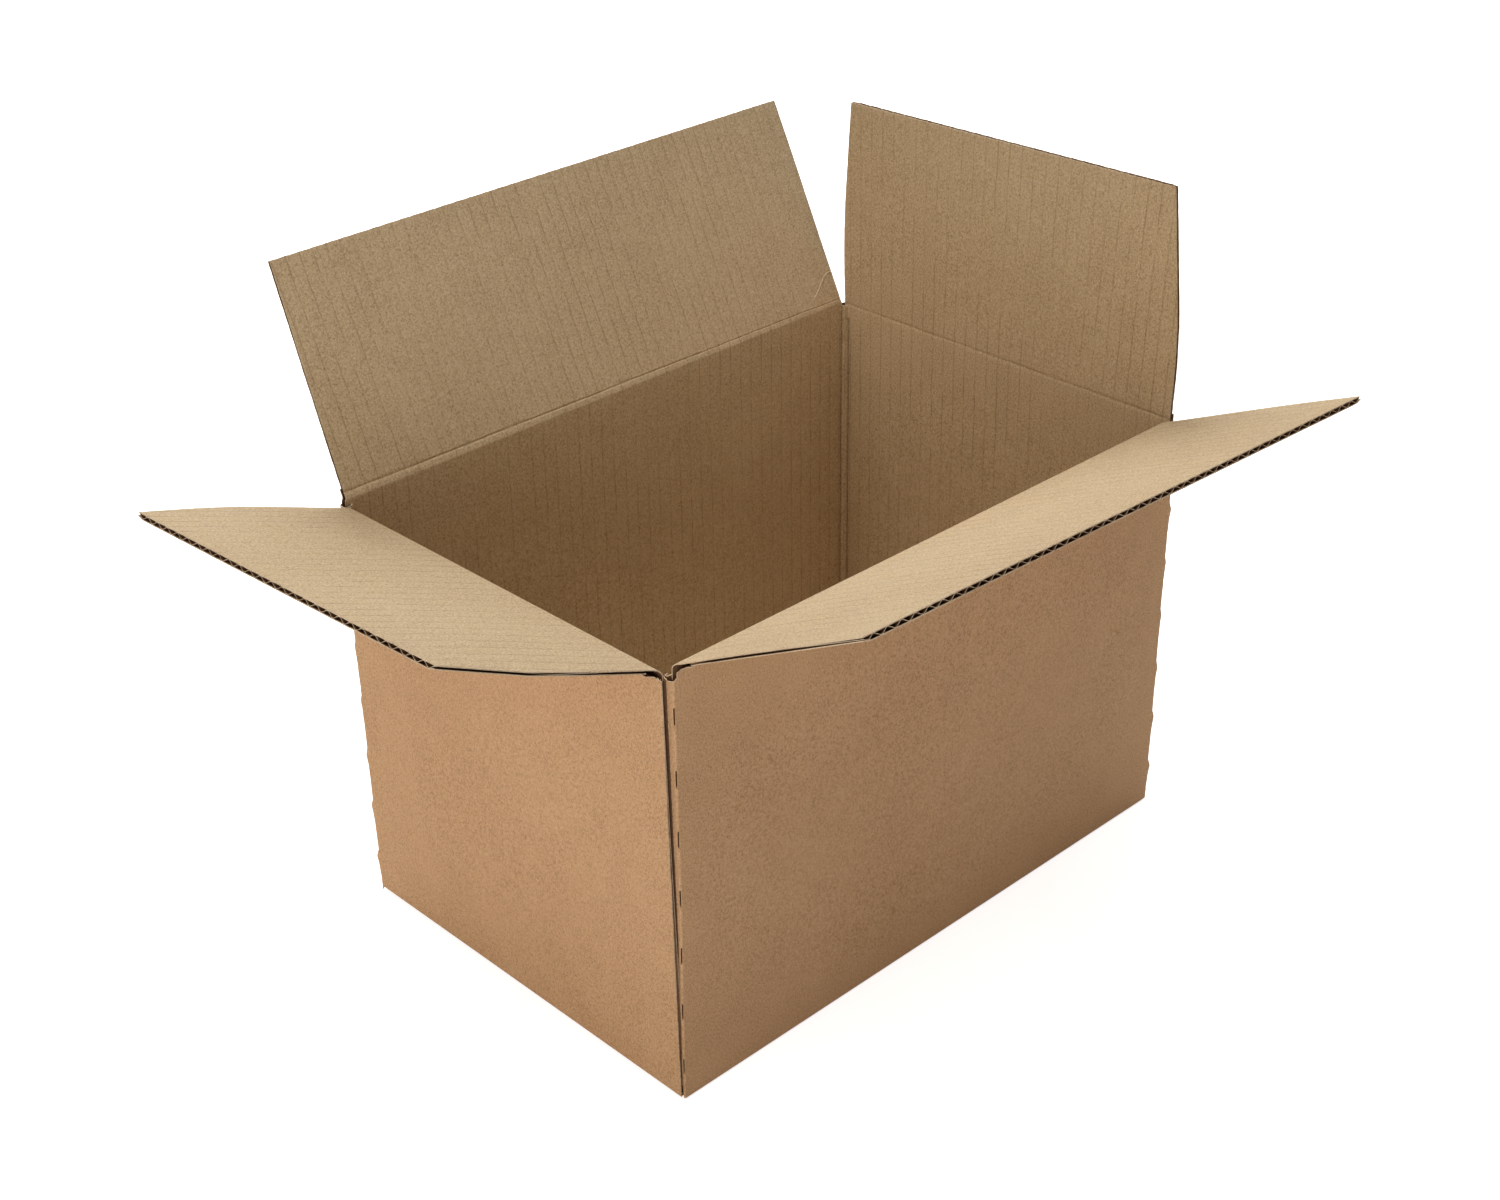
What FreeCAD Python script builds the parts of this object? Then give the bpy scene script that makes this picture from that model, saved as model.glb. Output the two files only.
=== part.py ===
import FreeCAD, Part
import math
import os

import Sketcher

# An open shipping box folded from one sheet of single-wall corrugated board, in millimetres.
# X runs along the long side, Y across it and Z up. The origin is the centre of the underside.
# The walls, the glue tab and the closed bottom flaps are one folded sheet, and each of the
# four top flaps swings about the crease line on the outer liner of its wall.

# Driving sizes. Angles are in degrees, measured up from lying flat outwards.
SIZES = {
    "outer_length": 306.0,
    "outer_width": 204.0,
    "end_crease_height": 197.5,
    "board": 3.0,
    # An end flap folds in first, so a long crease is one board and this gap above an end crease.
    "flap_stack_gap": 0.3,
    # The edges of two long flaps stay this far apart where they meet over the middle.
    "flap_meeting_gap": 0.5,
    "fold_radius": 2.0,
    # At a crease the wall and the flap both stop short of the crease line.
    "crease_clearance": 0.35,
    "crease_land": 0.15,
    # Each flap is narrower than its wall, and narrows further towards its outer edge.
    # The slots are cut askew, so an end flap narrows more on one side than on the other.
    "flap_side_clearance": 0.5,
    "long_flap_taper": 3.3,
    "end_flap_lead_taper": 10.2,
    "end_flap_trail_taper": 4.0,
    "front_open_angle": 26.1,
    "back_open_angle": 64.5,
    "left_open_angle": 22.5,
    "right_open_angle": 89.0,
    # Slots part the flaps at the corners and end just below the long creases.
    "slot_drop": 1.5,
    "foot_slot_half_width": 2.4,
    "foot_slot_rise": 3.8,
    # Short slits weaken the upright folds so that the board bends along them.
    "slit_length": 7.5,
    "slit_width": 0.5,
    "slit_pitch": 27.7,
    "first_slit_height": 17.7,
    # The glue tab hangs on the front wall and lies inside the left wall.
    "tab_width": 32.0,
    "tab_slant": 9.0,
    "seam_gap_foot": 2.6,
    "seam_gap_top": 4.5,
    "seam_flap_inset": 7.5,
    # Bottom flaps: the long ones lie under the end ones.
    "bottom_flap_inset": 1.5,
    "bottom_side_clearance": 0.8,
    # Flutes of the corrugated medium, open at the outer edges of the top flaps.
    "flute_pitch": 6.8,
    "flute_crest": 1.9,
    "liner": 0.4,
    "medium": 0.35,
    "crushed_width": 10.0,
    "flute_side_margin": 2.0,
}

SHEET_NAME = "Sizes"
# Cutting outlines run this far past the solid.
OVERCUT = 1.0
# A slit goes through the rounded fold from outside to inside, in board thicknesses each way.
SLIT_REACH = 1.7
# Two points closer than this are the same corner.
SAME_PLACE = 0.001


class Size:
    """A length or an angle, with its value now and the formula that gives it in the sheet."""

    def __init__(self, value, formula):
        self.value = value
        self.formula = formula

    def __add__(self, other):
        other = as_size(other)
        return Size(self.value + other.value, f"({self.formula} + {other.formula})")

    def __sub__(self, other):
        other = as_size(other)
        return Size(self.value - other.value, f"({self.formula} - {other.formula})")

    def __mul__(self, other):
        other = as_size(other)
        return Size(self.value * other.value, f"({self.formula} * {other.formula})")

    def __truediv__(self, other):
        other = as_size(other)
        return Size(self.value / other.value, f"({self.formula} / {other.formula})")

    def __neg__(self):
        return Size(-self.value, f"(0 - {self.formula})")


def as_size(number):
    return number if isinstance(number, Size) else Size(float(number), f"{number}")


def whole_number(size):
    return Size(float(math.floor(size.value)), f"floor({size.formula})")


def make_sheet(document):
    """Write the driving sizes into the sheet and return them as formulas by name."""
    sheet = document.addObject("Spreadsheet::Sheet", SHEET_NAME)
    sizes = {}
    for row, (name, value) in enumerate(SIZES.items(), start=1):
        sheet.set(f"A{row}", name)
        sheet.set(f"B{row}", str(value))
        sheet.setAlias(f"B{row}", name)
        sizes[name] = Size(value, f"{SHEET_NAME}.{name}")
    document.recompute()
    return sizes


def origin_plane(body, role):
    return next(feature for feature in body.Origin.OriginFeatures if feature.Role == role)


def new_sketch(body, name, role, offset=None, turn=0.0):
    """A sketch on one of the body's origin planes, moved by offset and turned about its upright."""
    sketch = body.newObject("Sketcher::SketchObject", name)
    sketch.AttachmentSupport = [(origin_plane(body, role), "")]
    sketch.MapMode = "FlatFace"
    rotation = FreeCAD.Rotation(FreeCAD.Vector(0, 1, 0), turn)
    place = [part.value for part in offset] if offset else [0.0, 0.0, 0.0]
    sketch.AttachmentOffset = FreeCAD.Placement(FreeCAD.Vector(*place), rotation)
    for axis, part in zip("xyz", offset or ()):
        sketch.setExpression(f"AttachmentOffset.Base.{axis}", part.formula)
    return sketch


def bend_between(start, end, centre):
    """The short arc about centre, and whether it runs against the outline's direction."""
    first = math.atan2(start[1].value - centre[1].value, start[0].value - centre[0].value)
    last = math.atan2(end[1].value - centre[1].value, end[0].value - centre[0].value)
    radius = math.hypot(start[0].value - centre[0].value, start[1].value - centre[1].value)
    middle = FreeCAD.Vector(centre[0].value, centre[1].value, 0)
    circle = Part.Circle(middle, FreeCAD.Vector(0, 0, 1), radius)
    against = (last - first) % (2 * math.pi) > math.pi
    span = (last, first) if against else (first, last)
    return Part.ArcOfCircle(circle, *span), against


def draw_outline(sketch, corners, bends=None):
    """Draw a closed outline through the corners, each bound to its formulas.

    bends gives, for the side that leaves a numbered corner, an arc's centre and radius.
    """
    bends = bends or {}
    ends = []
    for number, start in enumerate(corners):
        end = corners[(number + 1) % len(corners)]
        if number in bends:
            arc, against = bend_between(start, end, bends[number][0])
            index = sketch.addGeometry(arc, False)
            ends.append((index, 2, 1) if against else (index, 1, 2))
            bound = sketch.addConstraint(Sketcher.Constraint("Radius", index, arc.Radius))
            sketch.setExpression(f"Constraints[{bound}]", bends[number][1].formula)
        else:
            points = [FreeCAD.Vector(x.value, y.value, 0) for x, y in (start, end)]
            index = sketch.addGeometry(Part.LineSegment(*points), False)
            ends.append((index, 1, 2))
    for number, (index, _, last) in enumerate(ends):
        following, first, _ = ends[(number + 1) % len(ends)]
        sketch.addConstraint(Sketcher.Constraint("Coincident", index, last, following, first))
    for (index, first, _), corner in zip(ends, corners):
        for kind, part in zip(("DistanceX", "DistanceY"), corner):
            bound = sketch.addConstraint(Sketcher.Constraint(kind, index, first, part.value))
            sketch.setExpression(f"Constraints[{bound}]", part.formula)


def extrude(body, kind, sketch, length, reverse=False, both_sides=False):
    """Pad or pocket a sketch by a length bound to the sheet."""
    feature = body.newObject(f"PartDesign::{kind}", sketch.Name.replace("outline", kind.lower()))
    feature.Profile = sketch
    feature.Length = length.value
    feature.setExpression("Length", length.formula)
    feature.Reversed = reverse
    if both_sides:
        feature.SideType = "Symmetric"
    body.Document.recompute()
    return feature


def upright_edges_at(feature, places):
    """Names of the upright edges of a feature that stand at the given plan positions."""
    names = []
    for number, edge in enumerate(feature.Shape.Edges, start=1):
        box = edge.BoundBox
        upright = max(box.XLength, box.YLength) < SAME_PLACE
        at_place = any(
            math.hypot(box.XMin - x.value, box.YMin - y.value) < SAME_PLACE for x, y in places
        )
        if upright and at_place:
            names.append(f"Edge{number}")
    return names


class BoxLayout:
    """Where the walls, creases and folds of the box lie, worked out from the sizes."""

    def __init__(self, sizes):
        self.sizes = sizes
        self.left = -sizes["outer_length"] / 2
        self.right = sizes["outer_length"] / 2
        self.front = -sizes["outer_width"] / 2
        self.back = sizes["outer_width"] / 2
        self.end_crease = sizes["end_crease_height"]
        self.crease_step = sizes["board"] + sizes["flap_stack_gap"]
        self.long_crease = self.end_crease + self.crease_step
        self.end_wall_top = self.end_crease - sizes["crease_clearance"]
        self.long_wall_top = self.long_crease - sizes["crease_clearance"]
        self.over_top = self.long_crease + OVERCUT
        self.slot_foot = self.long_crease - sizes["slot_drop"]
        # The front wall turns into the glue tab one board inside the left wall.
        self.seam_fold = self.left + sizes["board"]
        self.flap_inset = sizes["board"] + sizes["flap_side_clearance"]
        self.long_flap_depth = (sizes["outer_width"] - sizes["flap_meeting_gap"]) / 2
        self.end_flap_depth = self.long_flap_depth + self.crease_step
        self.bottom_end_depth = self.long_flap_depth + sizes["board"]


def add_walls(body, layout):
    """The four walls with the glue tab, as one ring with rounded upright folds."""
    sizes = layout.sizes
    board = sizes["board"]
    seam_foot = layout.front + sizes["seam_gap_foot"]
    tab_end = layout.front + board + sizes["tab_width"]
    sketch = new_sketch(body, "wall_outline", "XY_Plane")
    outside = [
        (layout.seam_fold, layout.front),
        (layout.right, layout.front),
        (layout.right, layout.back),
        (layout.left, layout.back),
        (layout.left, seam_foot),
        (layout.seam_fold, seam_foot),
    ]
    inside = [
        (layout.seam_fold + board, layout.front + board),
        (layout.right - board, layout.front + board),
        (layout.right - board, layout.back - board),
        (layout.left + board, layout.back - board),
        (layout.left + board, tab_end),
        (layout.seam_fold + board, tab_end),
    ]
    draw_outline(sketch, outside)
    draw_outline(sketch, inside)
    walls = extrude(body, "Pad", sketch, layout.long_wall_top)
    folds = body.newObject("PartDesign::Fillet", "upright_folds")
    folds.Base = (walls, upright_edges_at(walls, outside[:4]))
    folds.Radius = sizes["fold_radius"].value
    folds.setExpression("Radius", sizes["fold_radius"].formula)
    body.Document.recompute()


def cut_creases(body, layout):
    """Lower the end walls, and slope the top of every wall inwards to leave room for its flap."""
    sizes = layout.sizes
    board = sizes["board"]
    land = sizes["crease_land"]
    slope = board - land
    inner_width = sizes["outer_width"] - board * 2

    ends = new_sketch(body, "end_crease_outline", "XZ_Plane")
    slope_foot = layout.end_wall_top - slope
    for wall, inwards, clear in ((layout.left, 1, board * 2), (layout.right, -1, board)):
        deep = wall + (clear + OVERCUT) * inwards
        corners = [
            (wall - as_size(OVERCUT) * inwards, layout.end_wall_top),
            (wall + land * inwards, layout.end_wall_top),
            (wall + board * inwards, slope_foot),
            (deep, slope_foot),
            (deep, layout.over_top),
            (wall - as_size(OVERCUT) * inwards, layout.over_top),
        ]
        draw_outline(ends, corners)
    extrude(body, "Pocket", ends, inner_width, both_sides=True)

    longs = new_sketch(body, "long_crease_outline", "YZ_Plane")
    slope_foot = layout.long_wall_top - slope
    for wall, inwards in ((layout.front, 1), (layout.back, -1)):
        deep = wall + (board + OVERCUT) * inwards
        corners = [
            (wall + land * inwards, layout.long_wall_top),
            (wall + board * inwards, slope_foot),
            (deep, slope_foot),
            (deep, layout.over_top),
            (wall + land * inwards, layout.over_top),
        ]
        draw_outline(longs, corners)
    extrude(body, "Pocket", longs, sizes["outer_length"] + OVERCUT, both_sides=True)


def add_bottom(body, layout):
    """The closed bottom: long flaps underneath, end flaps glued on top of them."""
    sizes = layout.sizes
    board = sizes["board"]
    half_seam = sizes["flap_meeting_gap"] / 2
    near_end = layout.left + sizes["bottom_flap_inset"]
    far_end = layout.right - sizes["bottom_flap_inset"]

    longs = new_sketch(body, "long_bottom_outline", "XY_Plane")
    for wall, inwards in ((layout.front, 1), (layout.back, -1)):
        fold = wall + board * inwards
        edge = -half_seam * inwards
        draw_outline(longs, [(near_end, fold), (far_end, fold), (far_end, edge), (near_end, edge)])
    extrude(body, "Pad", longs, board)

    # The end walls stop one board above the ground, on top of the long flaps.
    feet = new_sketch(body, "end_foot_outline", "XZ_Plane")
    for wall, flap_end, outwards in ((layout.left, near_end, -1), (layout.right, far_end, 1)):
        outside = wall + as_size(OVERCUT) * outwards
        below = as_size(-OVERCUT)
        draw_outline(feet, [(outside, below), (flap_end, below), (flap_end, board), (outside, board)])
    inner_width = sizes["outer_width"] - board * 2
    extrude(body, "Pocket", feet, inner_width, both_sides=True)

    ends = new_sketch(body, "end_bottom_outline", "XY_Plane", (as_size(0), as_size(0), board))
    side = inner_width / 2 - sizes["bottom_side_clearance"]
    for wall, inwards in ((layout.left, 1), (layout.right, -1)):
        fold = wall + board * inwards
        edge = wall + layout.bottom_end_depth * inwards
        draw_outline(ends, [(fold, -side), (edge, -side), (edge, side), (fold, side)])
    extrude(body, "Pad", ends, board)


def round_bottom_folds(body, layout):
    """Round the outside of the four bottom folds."""
    sizes = layout.sizes
    radius = sizes["fold_radius"]
    ground = as_size(0)
    below = as_size(-OVERCUT)

    longs = new_sketch(body, "long_fold_outline", "YZ_Plane")
    for wall, inwards in ((layout.front, 1), (layout.back, -1)):
        outside = wall - as_size(OVERCUT) * inwards
        turned_in = wall + radius * inwards
        corners = [
            (turned_in, ground),
            (wall, radius),
            (outside, radius),
            (outside, below),
            (turned_in, below),
        ]
        draw_outline(longs, corners, {0: ((turned_in, radius), radius)})
    extrude(body, "Pocket", longs, sizes["outer_length"] + OVERCUT, both_sides=True)

    ends = new_sketch(body, "end_fold_outline", "XZ_Plane")
    foot = sizes["board"]
    for wall, inwards in ((layout.left, 1), (layout.right, -1)):
        outside = wall - as_size(OVERCUT) * inwards
        turned_in = wall + radius * inwards
        corners = [(turned_in, foot), (wall, foot + radius), (outside, foot + radius), (outside, foot)]
        draw_outline(ends, corners, {0: ((turned_in, foot + radius), radius)})
    extrude(body, "Pocket", ends, sizes["outer_width"] - sizes["board"] * 2, both_sides=True)


def cut_seam(body, layout):
    """Slant the cut edge of the left wall at the seam, and trim the glue tab behind it."""
    sizes = layout.sizes
    board = sizes["board"]
    outside = layout.front - OVERCUT
    sketch = new_sketch(
        body, "seam_outline", "YZ_Plane", (as_size(0), as_size(0), layout.left)
    )
    corners = [
        (outside, as_size(-OVERCUT)),
        (layout.front + sizes["seam_gap_foot"], as_size(-OVERCUT)),
        (layout.front + sizes["seam_gap_top"], layout.slot_foot),
        (layout.front + sizes["seam_flap_inset"], layout.end_wall_top),
        (layout.front + sizes["seam_flap_inset"], layout.over_top),
        (outside, layout.over_top),
    ]
    draw_outline(sketch, corners)
    extrude(body, "Pocket", sketch, board, reverse=True)

    sketch = new_sketch(
        body, "tab_outline", "YZ_Plane", (as_size(0), as_size(0), layout.seam_fold)
    )
    fold = layout.front + board
    beyond = fold + sizes["tab_width"] + OVERCUT
    floor = board * 2
    top = [
        (fold, layout.slot_foot),
        (beyond, layout.slot_foot - sizes["tab_slant"]),
        (beyond, layout.over_top),
        (fold, layout.over_top),
    ]
    foot = [(fold, floor), (beyond, floor), (beyond, floor + sizes["tab_slant"])]
    draw_outline(sketch, top)
    draw_outline(sketch, foot)
    extrude(body, "Pocket", sketch, board, reverse=True)


def slot_corners(fold, inwards, layout, half_width):
    """Half of a top corner slot, from the fold inwards, with a rounded foot."""
    outside = fold - as_size(OVERCUT) * inwards
    side = fold + half_width * inwards
    shoulder = layout.slot_foot + half_width
    corners = [
        (fold, layout.slot_foot),
        (side, shoulder),
        (side, layout.over_top),
        (outside, layout.over_top),
        (outside, layout.slot_foot),
    ]
    return corners, {0: ((fold, shoulder), half_width)}


def foot_slot_corners(fold, inwards, sizes):
    """Half of a bottom corner slot, from the fold inwards, with a rounded top."""
    half_width = sizes["foot_slot_half_width"]
    outside = fold - as_size(OVERCUT) * inwards
    side = fold + half_width * inwards
    shoulder = sizes["foot_slot_rise"] - half_width
    below = as_size(-OVERCUT)
    corners = [
        (side, shoulder),
        (fold, sizes["foot_slot_rise"]),
        (outside, sizes["foot_slot_rise"]),
        (outside, below),
        (side, below),
    ]
    return corners, {0: ((fold, shoulder), half_width)}


def cut_slots(body, layout):
    """Cut the corner slots that part the flaps, through each wall from its outside."""
    sizes = layout.sizes
    board = sizes["board"]
    level = as_size(0)
    # Name, plane, place of the wall's outer face, its two folds, and the way into the board.
    # At the seam the front wall ends at its own fold, and the left wall at its cut edge.
    walls = (
        ("front", "XZ_Plane", -layout.front, (layout.seam_fold, layout.right), False),
        ("back", "XZ_Plane", -layout.back, (layout.left, layout.right), True),
        ("left", "YZ_Plane", layout.left, (None, layout.back), True),
        ("right", "YZ_Plane", layout.right, (layout.front, layout.back), False),
    )
    for name, plane, place, folds, reverse in walls:
        sketch = new_sketch(body, f"{name}_slot_outline", plane, (level, level, place))
        for fold, inwards in zip(folds, (1, -1)):
            if fold is None:
                continue
            at_seam = fold is layout.seam_fold
            half_width = sizes["flap_side_clearance"] if at_seam else layout.flap_inset
            draw_outline(sketch, *slot_corners(fold, inwards, layout, half_width))
            draw_outline(sketch, *foot_slot_corners(fold, inwards, sizes))
        extrude(body, "Pocket", sketch, board, reverse=reverse)


def cut_slits(body, layout):
    """Slit each upright fold at a regular pitch, straight through the corner."""
    sizes = layout.sizes
    half_width = sizes["slit_width"] / 2
    low = sizes["first_slit_height"] - sizes["slit_length"] / 2
    high = low + sizes["slit_length"]
    folds = {
        "seam": (layout.seam_fold, layout.front, -45.0),
        "right_front": (layout.right, layout.front, 45.0),
        "right_back": (layout.right, layout.back, -45.0),
        "left_back": (layout.left, layout.back, 45.0),
    }
    first_slits = []
    for name, (x, y, turn) in folds.items():
        place = (x, as_size(0), -y)
        sketch = new_sketch(body, f"{name}_slit_outline", "XZ_Plane", place, turn)
        corners = [(-half_width, low), (half_width, low), (half_width, high), (-half_width, high)]
        draw_outline(sketch, corners)
        reach = sizes["board"] * (2 * SLIT_REACH)
        first_slits.append(extrude(body, "Pocket", sketch, reach, both_sides=True))

    rows = whole_number((layout.slot_foot - high) / sizes["slit_pitch"]) + 1
    pattern = body.newObject("PartDesign::LinearPattern", "slit_rows")
    pattern.Originals = first_slits
    pattern.Direction = (origin_plane(body, "Z_Axis"), [""])
    set_rows(pattern, rows, sizes["slit_pitch"])
    body.Tip = pattern
    body.Document.recompute()


def set_rows(pattern, rows, pitch):
    """Give a linear pattern its number of copies and its length, bound to the sheet."""
    length = (rows - 1) * pitch
    pattern.Length = length.value
    pattern.setExpression("Length", length.formula)
    pattern.Occurrences = int(rows.value)
    pattern.setExpression("Occurrences", rows.formula)


def make_box_body(document, layout):
    """The folded sheet without its top flaps."""
    body = document.addObject("PartDesign::Body", "box_body")
    body.Label = "box_body"
    add_walls(body, layout)
    cut_creases(body, layout)
    add_bottom(body, layout)
    round_bottom_folds(body, layout)
    cut_seam(body, layout)
    cut_slots(body, layout)
    cut_slits(body, layout)
    return body


class FlapPlan:
    """One top flap: its plan, the crease it swings on, its heading and how far it stands open.

    A flap is drawn flat, with its crease along X and its outer liner on the ground plane.
    heading turns its outward direction from the back of the box, and angle lifts it.
    """

    def __init__(self, name, span, depth, insets, outer_insets, crease, heading, angle):
        self.name = name
        self.span = span
        self.depth = depth
        self.insets = insets
        self.outer_insets = outer_insets
        self.crease = crease
        self.heading = heading
        self.angle = angle


def flap_plans(layout):
    sizes = layout.sizes
    level = as_size(0)
    length, width = sizes["outer_length"], sizes["outer_width"]
    plain = (layout.flap_inset, layout.flap_inset)
    by_seam = (sizes["seam_flap_inset"], layout.flap_inset)
    long_inset = layout.flap_inset + sizes["long_flap_taper"]
    long_edge = (long_inset, long_inset)
    end_edge = (
        layout.flap_inset + sizes["end_flap_trail_taper"],
        layout.flap_inset + sizes["end_flap_lead_taper"],
    )
    front_crease = (level, layout.front, layout.long_crease)
    back_crease = (level, layout.back, layout.long_crease)
    left_crease = (layout.left, level, layout.end_crease)
    right_crease = (layout.right, level, layout.end_crease)
    long_depth, end_depth = layout.long_flap_depth, layout.end_flap_depth
    return (
        FlapPlan("front_flap", length, long_depth, plain, long_edge, front_crease, 180,
                 sizes["front_open_angle"]),
        FlapPlan("back_flap", length, long_depth, plain, long_edge, back_crease, 0,
                 sizes["back_open_angle"]),
        FlapPlan("left_flap", width, end_depth, by_seam, end_edge, left_crease, 90,
                 sizes["left_open_angle"]),
        FlapPlan("right_flap", width, end_depth, plain, end_edge, right_crease, -90,
                 sizes["right_open_angle"]),
    )


def add_flutes(body, plan, sizes):
    """Cut the open flutes into the flap's outer edge, as far as the crushed board at its crease."""
    pitch, crest = sizes["flute_pitch"], sizes["flute_crest"]
    board, liner, medium = sizes["board"], sizes["liner"], sizes["medium"]
    left_inset, right_inset = plan.outer_insets
    edge_width = plan.span - left_inset - right_inset
    flutes = whole_number((edge_width - sizes["flute_side_margin"] * 2) / pitch)
    first = (left_inset - right_inset) / 2 - (flutes - 1) * pitch / 2
    wide = (pitch - crest) / 2
    narrow = (crest - medium) / 2
    low, high = liner, board - liner
    mouths = (
        (first - pitch / 4, low, high - medium),
        (first + pitch / 4, high, low + medium),
    )
    level = as_size(0)
    sketch = new_sketch(body, f"{plan.name}_flute_outline", "XZ_Plane", (level, level, -plan.depth))
    for centre, base, tip in mouths:
        corners = [
            (centre - wide, base),
            (centre + wide, base),
            (centre + narrow, tip),
            (centre - narrow, tip),
        ]
        draw_outline(sketch, corners)
    first_flute = extrude(body, "Pocket", sketch, plan.depth - sizes["crushed_width"], reverse=True)
    pattern = body.newObject("PartDesign::LinearPattern", f"{plan.name}_flutes")
    pattern.Originals = [first_flute]
    pattern.Direction = (origin_plane(body, "X_Axis"), [""])
    set_rows(pattern, flutes, pitch)
    body.Tip = pattern
    body.Document.recompute()


def make_flap(document, layout, plan):
    """One top flap, with its root sloped to meet the slope on its wall when it is closed."""
    sizes = layout.sizes
    board = sizes["board"]
    root = sizes["crease_clearance"]
    half_span = plan.span / 2
    body = document.addObject("PartDesign::Body", plan.name)
    body.Label = plan.name

    sketch = new_sketch(body, f"{plan.name}_outline", "XY_Plane")
    corners = [
        (-half_span + plan.insets[0], root),
        (half_span - plan.insets[1], root),
        (half_span - plan.outer_insets[1], plan.depth),
        (-half_span + plan.outer_insets[0], plan.depth),
    ]
    draw_outline(sketch, corners)
    extrude(body, "Pad", sketch, board)

    sketch = new_sketch(body, f"{plan.name}_root_outline", "YZ_Plane")
    land = sizes["crease_land"]
    before = root - OVERCUT
    corners = [
        (root, land),
        (root + board - land, board),
        (root + board - land, board + OVERCUT),
        (before, board + OVERCUT),
        (before, land),
    ]
    draw_outline(sketch, corners)
    extrude(body, "Pocket", sketch, plan.span, both_sides=True)

    add_flutes(body, plan, sizes)
    place = "; ".join(part.formula for part in plan.crease)
    turn = f"rotation({plan.heading}; 0; {plan.angle.formula})"
    body.setExpression("Placement", f"placement(vector({place}); {turn})")
    document.recompute()
    return body


def check(document, pieces):
    """Stop with a plain message if any step of the model failed."""
    for item in document.Objects:
        if "Invalid" in item.State or "Error" in item.State:
            raise RuntimeError(f"{item.Name} could not be computed: {item.State}")
    for piece in pieces:
        if piece.Shape.isNull() or not piece.Shape.isValid():
            raise RuntimeError(f"{piece.Label} has no valid shape")
        solids = piece.Shape.Solids
        if len(solids) != 1:
            raise RuntimeError(f"{piece.Label} should be one solid and is {len(solids)}")


def main():
    document = FreeCAD.newDocument("shipping_box")
    layout = BoxLayout(make_sheet(document))
    pieces = [make_box_body(document, layout)]
    for plan in flap_plans(layout):
        pieces.append(make_flap(document, layout, plan))
    document.recompute()
    check(document, pieces)
    os.makedirs("parts", exist_ok=True)
    for piece in pieces:
        piece.Shape.exportStep(f"parts/{piece.Label}.step")
        print(f"{piece.Label}: {piece.Shape.Volume:.0f} cubic mm, {len(piece.Shape.Faces)} faces")


main()
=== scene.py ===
"""Open cardboard box: the look of one folded sheet of brown single-wall corrugated board."""

import logging
import math
from dataclasses import dataclass, field
from enum import Enum
from typing import Callable

import bpy
import numpy as np
from mathutils import Matrix, Vector


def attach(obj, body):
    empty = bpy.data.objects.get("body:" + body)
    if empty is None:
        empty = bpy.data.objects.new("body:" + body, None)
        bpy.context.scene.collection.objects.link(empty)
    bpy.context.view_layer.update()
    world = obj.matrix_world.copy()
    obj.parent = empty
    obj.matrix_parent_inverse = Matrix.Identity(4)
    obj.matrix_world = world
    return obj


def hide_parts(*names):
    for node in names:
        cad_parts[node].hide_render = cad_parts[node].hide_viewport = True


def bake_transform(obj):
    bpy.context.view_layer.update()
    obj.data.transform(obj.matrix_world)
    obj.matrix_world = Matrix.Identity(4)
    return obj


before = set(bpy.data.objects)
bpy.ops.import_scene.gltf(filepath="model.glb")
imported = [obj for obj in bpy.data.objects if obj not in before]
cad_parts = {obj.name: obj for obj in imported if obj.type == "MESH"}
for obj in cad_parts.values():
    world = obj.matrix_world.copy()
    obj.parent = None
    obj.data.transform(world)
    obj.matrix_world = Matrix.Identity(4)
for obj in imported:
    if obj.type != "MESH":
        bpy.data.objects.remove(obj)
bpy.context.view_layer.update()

LOG = logging.getLogger("open_cardboard_box")
MM = 0.001
MERGE_STEP = 1e-3
SHARP_ANGLE = math.radians(32)
CREASE_HALF_BAND = 4.5
HALF_LENGTH = 153.0
HALF_WIDTH = 102.0
TALL_CREASE = 200.8
LOW_CREASE = 197.5
SLOT_FOOT = 199.3
FOLD_RADIUS = 2.0
CREASE_REACH = 1.6
FAR_FROM_FOLD = 99.0
BUMP_DEPTH = 0.2 * MM
FLUTE_BUMP = 0.6
FLUTE_WAVER = 0.0011
UP = np.array((0.0, 0.0, 1.0))

Array = np.ndarray
Pairs = tuple[tuple[float, float], ...]


class Finish(Enum):
    """The finishes of the board, by material slot."""

    OUTSIDE = 0
    INSIDE = 1
    FLUTING = 2
    CUT_EDGE = 3


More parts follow.
